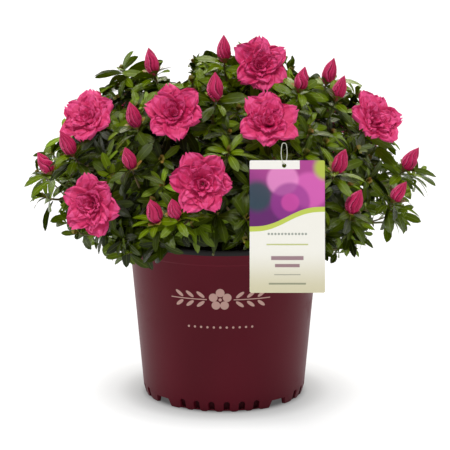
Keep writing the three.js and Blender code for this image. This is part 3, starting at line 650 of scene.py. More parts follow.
def crown_masses():
    """Both halves of the crown: names, directions, the number of the parent or -1, and bloom facings."""
    order = list(MASSES)
    names, towards, parents, faces = [], [], [], []
    for half, turned, first in (("near", 0, 0), ("far", 180, len(order))):
        for name, (at, parent, face) in MASSES.items():
            names.append(f"{half}_{name}")
            towards.append(direction(at[0] + turned, at[1]))
            parents.append(first + order.index(parent) if parent else -1)
            faces.append(direction(face[0] + turned, face[1]) if face else None)
    faces[names.index(f"far_{WITHOUT_FAR_BLOOM}")] = None
    return names, np.stack(towards), parents, faces


def grow_boughs(towards, parents):
    """The four control points of each bough. A main bough leaves the fork upwards, and a side bough
    leaves its parent square to it. Both end along their mass's direction."""
    ends = in_crown(towards, BOUGH_END)
    controls = np.zeros((len(towards), 4, 3))
    turns = np.arctan2(towards[:, 1], towards[:, 0])
    mains = sorted((i for i, parent in enumerate(parents) if parent < 0), key=lambda i: turns[i])

    def bough(i, start, leaving, share):
        span = share * np.linalg.norm(ends[i] - start)
        return [start, start + leaving * span, ends[i] - towards[i] * span, ends[i]]

    for place, i in enumerate(mains):
        ring = turns[mains[0]] + 2 * np.pi * place / len(mains)
        start = np.array([FORK_RING * np.cos(ring), FORK_RING * np.sin(ring), STEM_TOP])
        controls[i] = bough(i, start, UP, MAIN_SPAN)
    for main in mains:
        sides = [i for i, parent in enumerate(parents) if parent == main]
        for i, share in zip(sides, SIDE_STARTS):
            near = bezier(*controls[main], np.array([share - 0.01, share, share + 0.01]))
            along = unit(near[2] - near[0])
            leaving = ends[i] - near[1]
            leaving = unit(leaving - along * (leaving @ along))
            controls[i] = bough(i, near[1] + leaving * 0.001, leaving, SIDE_SPAN)
    return controls


def trunk_surface():
    """Rings of the trunk's profile, with ridges that run up it and wander as they rise."""
    turn = np.linspace(0, 2 * np.pi, TRUNK_COLUMNS, endpoint=False)
    height = np.linspace(TRUNK[0][1], TRUNK[-1][1], TRUNK_RINGS)[:, None]
    radius = np.interp(height, [z for _, z in TRUNK], [r for r, _ in TRUNK])
    wander = 0.6 * np.sin(140 * height)
    ridges = 0.045 * np.sin(9 * turn + 4 * wander) + 0.03 * np.sin(17 * turn - 3 * wander)
    root_flare = 0.10 * np.sin(4 * turn + 1) * smooth_step(height, 0.236, -0.012)
    points = lathe(radius * (1 + ridges + root_flare), height, turn)
    return points.reshape(-1, 3), closed_faces(TRUNK_RINGS, TRUNK_COLUMNS)


def bark_recipe(place):
    """Grey-brown bark: fine ridges along the wood, with pale lichen-grey flecks."""
    ridges = grain(place, 520, 6)
    flecks = ramp(grain(place, 180, 4), 0.55, 0.7)
    tint = blend(ramp(ridges, 0.3, 0.7), "3a2a1f", "7a614a")
    return surface(blend(flecks * 0.5, tint, "8d8273"), 0.88, relief(ridges, 0.0022))


def join_meshes(*meshes):
    """Several sets of points and faces as one, with each set's numbers moved past the last."""
    starts = np.cumsum([0] + [len(points) for points, _ in meshes[:-1]])
    faces = [block + start for start, (_, blocks) in zip(starts, meshes) for block in blocks]
    return np.concatenate([points for points, _ in meshes]), faces


mass_names, mass_towards, mass_parents, mass_faces = crown_masses()
bough_controls = grow_boughs(mass_towards, mass_parents)
bough_shares = np.linspace(0, 1, 34)
bough_paths = bezier(*np.moveaxis(bough_controls, 1, 0), bough_shares)
bough_sizes = np.array([MAIN_BOUGH if parent < 0 else SIDE_BOUGH for parent in mass_parents])
bough_radii = bough_sizes[:, :1] - bough_sizes[:, 1:] * bough_shares
collar = COLLAR * np.exp(-bough_shares * 14)
bough_mesh = tubes(bough_paths, bough_radii + collar, 12, bark=0.05)
add_piece(
    "stem_and_boughs", *join_meshes(trunk_surface(), bough_mesh), [finish("bark", bark_recipe)], "bark",
    stands_for=["main_stem", *(f"bough_{name}" for name in mass_names)],
)


# Twigs
# Each bough runs on as a twig with shoots, each of which ends in a bloom, a bud or a whorl of leaves.
# Finer twigs leave the shoots and fill the crown out to its skin. Young wood is olive brown.
FIRST_TWIG = 0.45
LAST_TWIG = 0.64
STEM_END = LAST_TWIG + 0.02
TWIG_STRAIGHT = 0.4
SHOOT_STRAIGHT = 0.012
FINE_STRAIGHT = 0.010
SHOOT_STEPS = 12
BLOOM_DEPTH = 0.030
BLOOM_SHARE = 0.93
FAR_BLOOM_SHARE = 0.76
BLOOM_SPACING = 11
BUD_LENGTH = 0.038
BUD_SHARE = 0.95
FAR_BUD_SHARE = 0.86
FAR_TOP_SHARE = 0.68
TOP_ELEVATION = 25
BUD_SPACING = 7
BUD_LEAN = 1.3
TIP_BACK = 0.046
LEAFY_SHOOTS = 76
LOWEST_SHOOT = -13
LEAFY_LEAN = 0.55
INNER_ELEVATION = -7
INNER_SHARE = 0.68
INNER_LEAN = 0.4
GOLDEN_ANGLE = 137.508
# The kinds of shoot, and how far the tips of the first four keep inside their mass's space.
BLOOM, BUD, INNER, LEAFY, FINE = range(5)
ROOMS = np.array([0.006, 0.0125, 0.005, 0.005])
# The azimuth and elevation of each bud of the near half.
BUDS = np.array([
    [-146, 59], [-98, 76], [-123, 33], [-90, 46], [-54, 44], [-19, 50], [-32, 42], [-145, 21],
    [-153, 14], [-118, 20], [-109, 6], [-103, 7], [-55, 18], [-20, 14], [-34, 7], [-53, 7],
])


def leaning(towards, upright):
    """A direction turned upwards: it and this much of the upright, made a unit again."""
    return unit(towards + UP * upright)


def spiral_directions(count, lowest):
    """Directions spread evenly over the dome: heights in even steps, and azimuths a golden angle apart."""
    i = np.arange(count)
    height = 1 - (i + 0.5) / count * (1 - np.sin(np.radians(lowest)))
    azimuth = i * GOLDEN_ANGLE + 9 * (chance(i, 1) - 0.5)
    return direction(azimuth, np.degrees(np.arcsin(height)))


def apart(towards, others, spacing):
    """True where a direction is more than this many degrees from every one of the others."""
    return (towards @ others.T).max(axis=1) < np.cos(np.radians(spacing))


def settle(points, owners, room):
    """Points moved, where they have to be, until they lie this far inside their own mass's space."""
    settled = points.copy()
    for other in range(len(mass_towards)):
        between = unit(mass_towards[owners] - mass_towards[other])
        inside = np.sum((settled - CROWN_CENTRE) * between, axis=1)
        settled += between * np.where(owners == other, 0, np.maximum(0, room - inside))[:, None]
    return settled


# Gaps in the crown through which the sky shows from the front: x and z in the plane y = 0, and radius.
# Tips stay a little further out of them, and a leafy shoot that would stand in one is drawn in.
SKY_GAPS = [
    (-0.066, 0.482, 0.012), (-0.069, 0.519, 0.022), (0.121, 0.499, 0.016), (-0.262, 0.405, 0.018),
]
SHOOT_FROM_SKY = 0.008
FINE_FROM_SKY = 0.006
DRAWN_IN = 0.045


def whole(holds):
    """For each item, whether what holds for some of its points holds for all of them."""
    return holds.reshape(len(holds), -1).all(axis=1)


def clear_of_sky(points, room=0.0):
    """False where any of an item's points lies on a line from the camera's place through a gap."""
    nearer = CAMERA_PLACE[1] / (CAMERA_PLACE[1] - points[..., 1])
    x = points[..., 0] * nearer
    z = CAMERA_PLACE[2] + (points[..., 2] - CAMERA_PLACE[2]) * nearer
    clear = np.ones(len(points), bool)
    for gap_x, gap_z, radius in SKY_GAPS:
        clear &= whole(np.hypot(x - gap_x, z - gap_z) > radius + room)
    return clear


def grow_shoots():
    """The tips, axes, kinds and masses of the shoots, and the buds' sizes: blooms and buds first, then the
    inner shoots, and the leafy ones wherever a bloom or a bud leaves room."""
    blooms = np.array([i for i, faces in enumerate(mass_faces) if faces is not None])
    facing = np.stack([mass_faces[i] for i in blooms])
    share = np.where(blooms < len(MASSES), BLOOM_SHARE, FAR_BLOOM_SHARE)
    bloom_tips = in_crown(mass_towards[blooms], share) - facing * BLOOM_DEPTH
    bud_at = np.concatenate([BUDS, BUDS + [180, 0]])
    bud_towards = direction(*bud_at.T)
    bud_axes = leaning(bud_towards, BUD_LEAN)
    bud_sizes = 0.86 + 0.2 * chance(np.arange(len(bud_at)) + 100, 5)
    far_share = np.where(bud_at[:, 1] > TOP_ELEVATION, FAR_TOP_SHARE, FAR_BUD_SHARE)
    share = np.where(np.arange(len(bud_at)) < len(BUDS), BUD_SHARE, far_share)
    bud_tips = in_crown(bud_towards, share) - bud_axes * BUD_LENGTH * bud_sizes[:, None] / 2
    low = np.array([i for i, name in enumerate(mass_names) if "_low_" in name])
    low_azimuth = np.degrees(np.arctan2(mass_towards[low, 1], mass_towards[low, 0]))
    inner = direction(low_azimuth, INNER_ELEVATION)
    leafy = spiral_directions(LEAFY_SHOOTS, LOWEST_SHOOT)
    leafy = leafy[apart(leafy, mass_towards[blooms], BLOOM_SPACING)]
    leafy = leafy[apart(leafy, bud_towards, BUD_SPACING)]
    leafy_tips = in_crown(leafy, 1) - leafy * TIP_BACK
    leafy_tips -= leafy * np.where(clear_of_sky(leafy_tips, SHOOT_FROM_SKY), 0, DRAWN_IN)[:, None]
    towards = np.concatenate([mass_towards[blooms], bud_towards, inner, leafy])
    tips = np.concatenate([bloom_tips, bud_tips, in_crown(inner, INNER_SHARE), leafy_tips])
    axes = np.concatenate([facing, bud_axes, leaning(inner, INNER_LEAN), leaning(leafy, LEAFY_LEAN)])
    kinds = np.repeat([BLOOM, BUD, INNER, LEAFY], [len(blooms), len(bud_at), len(low), len(leafy)])
    owners = (towards @ mass_towards.T).argmax(axis=1)
    owners[kinds == BLOOM] = blooms
    owners[kinds == INNER] = low
    return settle(tips, owners, ROOMS[kinds]), axes, kinds, owners, bud_sizes


def shoot_starts(tips, owners):
    """Where each shoot leaves its mass's stem: the widest first, and at the stem's end the one that is
    nearest the middle of the mass."""
    middling = np.sum(unit(tips - CROWN_CENTRE) * mass_towards[owners], axis=1)
    shares = np.zeros(len(tips))
    for mass in range(len(mass_towards)):
        own = np.flatnonzero(owners == mass)
        own = own[np.argsort(middling[own], kind="stable")]
        shares[own] = FIRST_TWIG + (LAST_TWIG - FIRST_TWIG) * np.arange(len(own)) / max(len(own) - 1, 1)
        shares[own[-1]] = STEM_END
    return in_crown(mass_towards[owners], shares)


def bend_paths(starts, axes, tips, straight, steps):
    """Curves from starts to tips whose last stretch runs along the axes: (1 - t) squared times the start,
    2 t (1 - t) times the bend and t squared times the tip."""
    length = np.linalg.norm(tips - starts, axis=1)
    bends = tips - axes * np.maximum(straight, TWIG_STRAIGHT * length)[:, None]
    t = np.linspace(0, 1, steps)[:, None]
    return (1 - t) ** 2 * starts[:, None] + 2 * t * (1 - t) * bends[:, None] + t * t * tips[:, None]


def twig_recipe(place):
    """Young bark: olive brown with green showing through, and slightly rough."""
    tint = blend(grain(place, 90, 3), "4f4426", "7c6a43")
    green = ramp(grain(place, 25, 2), 0.45, 0.7)
    return surface(blend(green, tint, "6d7a3c"), 0.7, relief(grain(place, 800, 4), 0.001))


def tapering(paths, first, last, sides, bark=0.0):
    """Tubes round many paths, whose radius goes evenly from the first to the last."""
    return tubes(paths, np.linspace(first, last, paths.shape[1]) + 0 * paths[:, :, 0], sides, bark)


tips, axes, shoot_kinds, owners, bud_sizes = grow_shoots()
shoot_paths = bend_paths(shoot_starts(tips, owners), axes, tips, SHOOT_STRAIGHT, SHOOT_STEPS)
stem_feet = in_crown(mass_towards, BOUGH_END - 0.02)[:, None]
stem_ends = in_crown(mass_towards, STEM_END)[:, None]
stem_share = np.linspace(0, 1, 8)[:, None]
mass_stems = stem_feet * (1 - stem_share) + stem_ends * stem_share

# Finer twigs: their tips lie on golden-angle spirals at several depths, and each leaves the shoot whose
# tip is nearest, part of the way along it. Of each layer: how many, the lowest one's elevation, the
# depth of the tips, and the layer's number, which its draws follow. A tip is drawn in where it is far
# from every shoot, and at the low left, where the crown is thinner: THIN_SIDE and THIN_TOP are smooth
# steps, told by where they start and how wide they are.
FINE_LAYERS = [(262, -19, 0.047, 1), (170, -14, 0.084, 2), (95, -9, 0.130, 3)]
FINE_FROM_BLOOM = 8
FINE_FROM_BUD = 4
HOLLOW = 0.8
SHOOT_ROOM = 0.020
THIN_SIDE = (-0.12, -0.06)
THIN_TOP = (0.345, -0.03)
THINNER = 0.026
# Tips of finer twigs that stand out of the crown's outline.
SPRIGS = np.array([
    [-0.150, 0.000, 0.488], [-0.271, -0.030, 0.338], [0.287, -0.030, 0.338], [-0.186, -0.066, 0.240],
    [0.169, -0.095, 0.234], [0.098, 0.000, 0.486], [0.195, 0.000, 0.452], [-0.044, 0.000, 0.498],
])
# The height where the crown's skirt ends, and the line of sight over the pot's lip: the lip's radius, how
# steeply the line rises, and the smooth steps across between which it counts.
SKIRT = 0.212
SKIRT_ROOM = 0.012
LIP_RADIUS = 0.1445
SIGHT_SLOPE = 0.207
SIGHT_LEFT = (-0.100, 0.03)
SIGHT_RIGHT = (0.135, -0.03)


def above_skirt(points, room):
    """False where a point is not this far above the crown's skirt, which in front of the pot stays above
    the line of sight to its lip."""
    x, y, z = np.moveaxis(points, -1, 0)
    in_front = smooth_step(x, *SIGHT_LEFT) * smooth_step(x, *SIGHT_RIGHT) * (y < 0)
    sight = POT_HEIGHT + SIGHT_SLOPE * (np.hypot(x, y) - LIP_RADIUS)
    return z > SKIRT + np.maximum(0, sight + room - SKIRT) * in_front


def fine_twigs():
    """The tips and axes of the finer twigs, and how many of them are in the outermost layer, the sprigs
    with them. The blooms, the buds, the gaps of sky and the sight over the pot's lip are left clear."""
    all_tips = []
    all_axes = []
    bloom_towards = mass_towards[owners[shoot_kinds == BLOOM]]
    bud_towards = unit(tips[shoot_kinds == BUD] - CROWN_CENTRE)
    for count, lowest, back, layer in FINE_LAYERS:
        item = np.arange(count) + 1000 * layer
        sway = np.stack([chance(item, draw) for draw in (3, 4, 6)], axis=-1) - 0.5
        towards = unit(spiral_directions(count, lowest) + 0.10 * sway)
        if layer == 1:
            free = apart(towards, bloom_towards, FINE_FROM_BLOOM)
            free &= apart(towards, bud_towards, FINE_FROM_BUD)
            towards, item, sway = towards[free], item[free], sway[free]
        depth = back * (0.68 + 0.6 * chance(item, 7))
        at = in_crown(towards, 1) - towards * depth[:, None]
        from_shoot = np.linalg.norm(at[:, None] - tips[None], axis=2).min(axis=1)
        at -= towards * (HOLLOW * np.maximum(0, from_shoot - SHOOT_ROOM))[:, None]
        thin = smooth_step(at[:, 0], *THIN_SIDE) * smooth_step(at[:, 2], *THIN_TOP)
        at -= towards * (THINNER * thin)[:, None]
        clear = clear_of_sky(at, FINE_FROM_SKY) & above_skirt(at, SKIRT_ROOM)
        at, towards, sway = at[clear], towards[clear], sway[clear]
        if layer == 1:
            at = np.concatenate([at, SPRIGS])
            towards = np.concatenate([towards, unit(SPRIGS - CROWN_CENTRE)])
            sway = np.concatenate([sway, 0 * SPRIGS])
        all_tips.append(at)
        all_axes.append(unit(leaning(towards, 0.5) + 0.9 * sway))
    return np.concatenate(all_tips), np.concatenate(all_axes), len(all_tips[0])


fine_tips, fine_axes, outer_twigs = fine_twigs()
near_shoot = np.linalg.norm(fine_tips[:, None] - tips[None], axis=2).argmin(axis=1)
fine_item = np.arange(len(fine_tips)) + 5000
fine_from = (SHOOT_STEPS * (0.3 + 0.5 * chance(fine_item, 8))).astype(int)
fine_starts = shoot_paths[near_shoot, fine_from]
fine_paths = bend_paths(fine_starts, fine_axes, fine_tips, FINE_STRAIGHT, 8)
twig_mesh = join_meshes(
    tapering(mass_stems, 0.0024, 0.0020, 8, bark=0.05),
    tapering(shoot_paths, 0.0021, 0.0014, 6, bark=0.04),
    tapering(fine_paths, 0.0013, 0.0009, 5),
)
add_piece("twigs", *twig_mesh, [finish("young_bark", twig_recipe)], "bark")


# Leaves
# Evergreen leaves in whorls at the tips of the shoots: narrow ellipses folded along a pale rib, glossy
# dark green above, and light green on the shoots that are still growing.
LEAF_LENGTH = 0.040
LEAF_WIDTH = 0.0121
LEAVES_IN_WHORL = 12
WHORL_DEPTH = 0.013
LEAF_ROLL = 76
LEAF_GLOSS = 0.17
LEAF_ROWS = np.array([0, 0.12, 0.32, 0.54, 0.74, 0.90, 1.0])
LEAF_BREADTH = np.array([0.12, 0.30, 0.68, 0.96, 1.0, 0.66, 0.08])
LEAF_COLUMNS = np.array([-1, -0.10, 0.10, 1])
# For blooms, buds, inner shoots, leafy shoots and fine twigs: the spread of the lowest and of the
# highest leaf from the shoot's axis in degrees, how far the whorl is below the tip, and its leaves' size.
WHORLS = np.array([
    [88, 64, 0.006, 1.05], [90, 60, 0.001, 1.03], [92, 50, 0, 1.05], [90, 38, 0, 1.0], [92, 40, 0, 0.95],
])
# Smooth steps: out to the crown's sides, up into its top for longer leaves and for leaves painted
# lighter, as if sunned, and in how upright a shoot's axis is for a flatter whorl. How much longer outer
# leaves are and how much more they roll.
OUTER_SIDE = (0.20, 0.06)
OUTER_TOP = (0.42, 0.06)
SUNNED_TOP = (0.40, 0.12)
FLAT_TOP = (0.82, 0.14)
OUTER_LENGTH = 0.12
OUTER_ROLL = 0.8
# In degrees: how much more the lowest and the highest leaf of a flatter whorl spread, and how far leaves
# sway in their spread and in their turn.
FLATTER = (4, 26)
SPREAD_SWAY = 16
TURN_SWAY = 22
# The least share of a leaf's length and how much more it may be, and how much shorter the youngest leaf
# is in a whorl whose highest leaf spreads less than CLOSED degrees.
LENGTHS = (0.82, 0.3)
YOUNG_SHORTER = 0.42
CLOSED = 50
# The least rise, arch and fold of a blade and how much more each may be, its sway aside, and its cup.
LEAF_RISE = (0.20, 0.10)
LEAF_ARCH = (0.30, 0.26)
LEAF_FOLD = (0.22, 0.30)
LEAF_SWAY = 0.10
LEAF_CUP = 0.25
# The tag: the middle of its lower edge, its half width and height, and its lean in degrees.
TAG_FOOT = np.array([0.084, -0.318, 0.2295])
TAG_HALF = 0.050
TAG_HEIGHT = 0.176
TAG_LEAN = 14
TAG_UP = direction(90, 90 - TAG_LEAN)
TAG_OUT = np.array([0, -TAG_UP[2], TAG_UP[1]])
# The space that leaves leave free round the card, by its loop at the card's top, and on the pot's lip.
CARD_ASIDE = 0.002
CARD_BELOW = 0.004
CARD_ABOVE = 0.003
LOOP_PLACE = -0.004
LOOP_ASIDE = 0.010
LOOP_DEPTH = 0.012
LOOP_BELOW = 0.012
LOOP_ABOVE = 0.018
LIP_ASIDE = 0.002
LIP_ABOVE = 0.0015


def across_axes(axes):
    """Two directions square to each axis and to each other."""
    helper = np.where(np.abs(axes[:, 2:]) > 0.9, np.array([1.0, 0, 0]), UP)
    side = unit(np.cross(helper, axes))
    return side, np.cross(axes, side)


def outer(points, top):
    """How much each point is at the crown's sides or in its top, 0 to 1."""
    return np.maximum(smooth_step(np.abs(points[:, 0]), *OUTER_SIDE), smooth_step(points[:, 2], *top))


def whorls(tips, axes, kinds, item):
    """The leaves of every whorl: roots, directions, lengths, and how young each leaf is, 0 to 1. They
    stand a golden angle apart round the shoot, lowest first, and spread less the younger they are."""
    side, other = across_axes(axes)
    rank = np.arange(LEAVES_IN_WHORL)[None] + 0 * item[:, None]
    young = rank / (LEAVES_IN_WHORL - 1)
    lowest, highest, back, size = WHORLS[kinds].T[:, :, None]
    flatter = smooth_step(axes[:, 2:], *FLAT_TOP) * (kinds[:, None] > INNER)
    lowest = lowest + FLATTER[0] * flatter
    highest = highest + FLATTER[1] * flatter
    outlying = outer(tips, OUTER_TOP)[:, None]
    item = item[:, None]
    spread = lowest + (highest - lowest) * young**1.4 + SPREAD_SWAY * (chance(item, 40 + rank) - 0.5)
    spread = np.radians(spread)
    turn = rank * GOLDEN_ANGLE + 360 * chance(item, 9) + TURN_SWAY * (chance(item, 50 + rank) - 0.5)
    turn = np.radians(turn)
    length = LEAF_LENGTH * size * (LENGTHS[0] + LENGTHS[1] * chance(item, 20 + rank))
    length = length * (1 + OUTER_LENGTH * outlying)
    length = length * np.where(highest < CLOSED, 1 - YOUNG_SHORTER * young**3, 1)
    out = spokes(side[:, None], other[:, None], turn)
    along = axes[:, None] * np.cos(spread)[..., None] + out * np.sin(spread)[..., None]
    roots = tips[:, None] - axes[:, None] * (back + WHORL_DEPTH * (1 - young))[..., None]
    flat = unit(np.cross(axes[:, None] + 0 * along, along))
    roll = np.radians(LEAF_ROLL * (1 + OUTER_ROLL * outlying) * (chance(item, 80 + rank) - 0.5))[..., None]
    across = flat * np.cos(roll) + np.cross(along, flat) * np.sin(roll)
    return roots, along, across, length, young


def from_heads(heads, parts):
    """Grids of points: from each item's head, the sum of the parts' amounts along their directions."""
    return heads[:, None, None] + sum(amount[..., None] * way[:, None, None] for amount, way in parts)


def leaf_points(roots, along, across, length, item, breadth=1):
    """Leaves as grids: the middle line rises and then arches over, a v less b v squared of the length,
    and a point aside from it is lifted by the fold times its distance from the rib, less the cup."""
    v = LEAF_ROWS[:, None]
    u = LEAF_COLUMNS[None]
    first, second, third, fourth = (chance(item, draw)[:, None, None] for draw in (61, 62, 63, 64))
    a = LEAF_RISE[0] + LEAF_RISE[1] * first
    b = LEAF_ARCH[0] + LEAF_ARCH[1] * second
    sway = LEAF_SWAY * (third - 0.5)
    fold = LEAF_FOLD[0] + LEAF_FOLD[1] * fourth
    length = length[:, None, None]
    half = breadth * length * LEAF_WIDTH / LEAF_LENGTH / 2 * LEAF_BREADTH[:, None]
    ahead = length * (v + 0 * u)
    aside = half * u + sway * length * v * v
    lift = length * (a * v - b * v * v) + half * (fold * np.abs(u) - LEAF_CUP * u * u)
    return from_heads(roots, [(ahead, along), (aside, across), (lift, np.cross(along, across))])


def clear_of_tag(points):
    """False where any of an item's points lies in front of the card's back or by its loop."""
    from_foot = points - TAG_FOOT
    x = from_foot[..., 0]
    up = from_foot @ TAG_UP
    out = from_foot @ TAG_OUT
    card = (np.abs(x) < TAG_HALF + CARD_ASIDE) & (out > -CARD_ASIDE)
    card &= (up > -CARD_BELOW) & (up < TAG_HEIGHT + CARD_ABOVE)
    loop = (np.abs(x - LOOP_PLACE) < LOOP_ASIDE) & (np.abs(out) < LOOP_DEPTH)
    loop &= (up > TAG_HEIGHT - LOOP_BELOW) & (up < TAG_HEIGHT + LOOP_ABOVE)
    return whole(~(card | loop))


def clear_of_pot(points, slack):
    """False where any of an item's points is in or on the pot, or this far under the crown's skirt."""
    in_pot = np.hypot(points[..., 0], points[..., 1]) < LIP_RADIUS + LIP_ASIDE
    in_pot &= points[..., 2] < POT_HEIGHT + LIP_ABOVE
    return whole(above_skirt(points, -slack[:, None, None]) & ~in_pot)


def clear_of_heads(points, kind, radius, first):
    """False where any of an item's points lies in a cylinder that runs outwards from a bloom or a bud."""
    clear = np.ones(len(points), bool)
    for head, axis in zip(tips[shoot_kinds == kind], axes[shoot_kinds == kind]):
        from_head = points - head
        ahead = from_head @ axis
        aside = np.linalg.norm(from_head - ahead[..., None] * axis, axis=-1)
        clear &= whole((aside >= radius) | (ahead <= first))
    return clear


def leaf_recipe(low, high, sheen_low, sheen_high, glow=0.0):
    """A recipe for a glossy leaf: its green varies over the crown and over the blade, with fine veins. Its
    glow is painted light that stands in for the light that comes through it from above."""

    def recipe(place):
        over_blade = grain(place, 260, 3)
        share = ramp(grain(place, 22, 2), 0.3, 0.7) * 0.6 + over_blade * 0.4
        green = blend(share, low, high)
        roughness = sheen_low + (sheen_high - sheen_low) * over_blade
        return surface(green, roughness, relief(grain(place, 1100, 3), 0.0005), LEAF_GLOSS, glow)

    return recipe


# The blade and the rib of each shade of leaf: darker and lighter green, least and most roughness, painted
# glow.
LEAF_FINISHES = {
    "dark": [("171f00", "252f00", 0.08, 0.20), ("303c06", "3e4a0c", 0.3, 0.4)],
    "deep": [("2b3800", "3e4d00", 0.08, 0.20), ("404f08", "50600e", 0.3, 0.4)],
    "middle": [("465800", "5a6e04", 0.10, 0.22, 0.10), ("5c7010", "70841c", 0.3, 0.4)],
    "fresh": [("5e7a0c", "768f1c", 0.24, 0.40, 0.06), ("88a036", "9eb44c", 0.4, 0.5)],
}
# How far a leaf's end may reach, as a share of the way to the crown's skin: further in a smooth step up,
# and less far at the low left. Under the crown's centre the skin is a bowl of the depth LEAF_DROP here.
LEAF_DROP = 0.095
LEAF_REACH = 1.02
HIGH_REACH = 0.06
HIGH_FROM = (0.32, 0.04)
THIN_REACH = 0.07
THIN_LEAF_SIDE = (-0.15, -0.05)
THIN_LEAF_TOP = (0.335, -0.03)
# How far below the skirt a leaf may hang, and the radius of the space that leaves leave free before a
# bloom and a bud, with how far ahead of its foot that space starts.
SKIRT_SLACK = 0.006
BLOOM_CLEAR = (0.030, 0.020)
BUD_CLEAR = (0.010, 0.012)
# The share of growing shoots. The tone of a leaf is a sum of its whorl's draw, painted light in the
# crown's sunned top, painted shade inside the crown and its own draw, and its steps divide dark from deep
# and deep from middle green.
GROWING = 0.13
WHORL_TONE = 0.50
SUN_PAINTED_LIGHT = 0.32
INSIDE_PAINTED_SHADE = -0.36
LEAF_TONE = 0.45
TONE_STEPS = [0.32, 0.60]

all_tips = np.concatenate([tips, fine_tips])
all_axes = np.concatenate([axes, fine_axes])
all_kinds = np.concatenate([shoot_kinds, np.full(len(fine_tips), FINE)])
whorl_item = np.arange(len(all_tips)) + 200
roots, along, across, length, young = whorls(all_tips, all_axes, all_kinds, whorl_item)
leaf_item = np.arange(length.size) + 0.5
blades = [part.reshape(-1, 3) for part in (roots, along, across)]
leaves = leaf_points(*blades, length.ravel(), leaf_item)
leaf_ends = leaves[:, -1, 2]
from_centre = leaf_ends - CROWN_CENTRE
from_centre = from_centre * np.where(from_centre[:, 2:] < 0, [1, 1, CROWN_DROP / LEAF_DROP], 1.0)
reach = np.linalg.norm(from_centre, axis=1) / skin(unit(from_centre))
thin = smooth_step(leaf_ends[:, 0], *THIN_LEAF_SIDE) * smooth_step(leaf_ends[:, 2], *THIN_LEAF_TOP)
kept = reach < LEAF_REACH + HIGH_REACH * smooth_step(leaf_ends[:, 2], *HIGH_FROM) - THIN_REACH * thin
kept &= clear_of_pot(leaves, SKIRT_SLACK * chance(leaf_item, 65))
kept &= clear_of_tag(leaves) & clear_of_sky(leaves)
kept &= clear_of_heads(leaves, BLOOM, *BLOOM_CLEAR) & clear_of_heads(leaves, BUD, *BUD_CLEAR)
growing = (chance(whorl_item, 70) < GROWING) & (all_kinds > INNER)
at_skin = np.arange(len(all_tips)) < len(tips) + outer_twigs
# Leaves in the crown's top are painted lighter, and leaves inside it painted darker, for the light and
# shade there.
tone = WHORL_TONE * chance(whorl_item, 71) + SUN_PAINTED_LIGHT * outer(all_tips, SUNNED_TOP)
tone = (tone + INSIDE_PAINTED_SHADE * ~at_skin)[:, None] + LEAF_TONE * chance(leaf_item, 72).reshape(young.shape)
shade = np.where(growing[:, None] & (young > 0.5), 3, np.digitize(tone, TONE_STEPS)).ravel()
leaf_quads = grid_faces(len(LEAF_ROWS), len(LEAF_COLUMNS))
leaf_size = len(LEAF_ROWS) * len(LEAF_COLUMNS)
on_rib = np.tile([0, 1, 0], len(LEAF_ROWS) - 1)
for number, (name, looks) in enumerate(LEAF_FINISHES.items()):
    chosen = leaves[kept & (shade == number)]
    faces = [copies(leaf_quads, len(chosen), leaf_size)]
    finishes = [finish(f"{part}_{name}", leaf_recipe(*look)) for part, look in zip(("leaf", "rib"), looks)]
    masses = [f"foliage_{mass}" for mass in mass_names] if name == "dark" else []
    kinds = np.tile(on_rib, len(chosen))
    add_piece(f"leaves_{name}", chosen, faces, finishes, "foliage", kinds, stands_for=masses)


# Blooms
# Large double blooms of hot pink petals in six whorls. Each petal rises from the throat in a narrow
# claw, opens into a broad blade with a waved edge, and is deep crimson near its claw and pale at its rim.
PETAL_ROWS = 13
PETAL_COLUMNS = 25
PETAL_GLOSS = 0.2
# Painted light: petals and buds glow a little in their own colour.
PETAL_PAINTED_GLOW = 0.15
# The share of a petal that is deep crimson, how much more of it in each inner whorl, where its pale rim
# begins, the depth of the scallops in the rim, and the notches' share of that depth.
DEEP_PART = 0.28
DEEPER_INSIDE = 0.07
RIM_FROM = 0.84
SCALLOP_DEPTH = 0.070
NOTCH_SHARE = 0.22
# A petal winds round the bloom's axis no tighter than round this radius.
LEAST_WIND = 0.0045
# Of each whorl: how many petals, their length, half width, the lean of the claw, of the blade and of
# the tip from the bloom's axis in degrees, and the depth of the waves.
PETAL_WHORLS = [
    (6, 0.0555, 0.0208, 10, 64, 90, 0.0034),
    (6, 0.0490, 0.0180, 8, 53, 80, 0.0038),
    (5, 0.0425, 0.0150, 5, 39, 68, 0.0036),
    (5, 0.0370, 0.0112, 3, 25, 52, 0.0032),
    (4, 0.0320, 0.0085, 1, 12, 36, 0.0028),
    (4, 0.0265, 0.0062, 0, 2, 16, 0.0022),
]


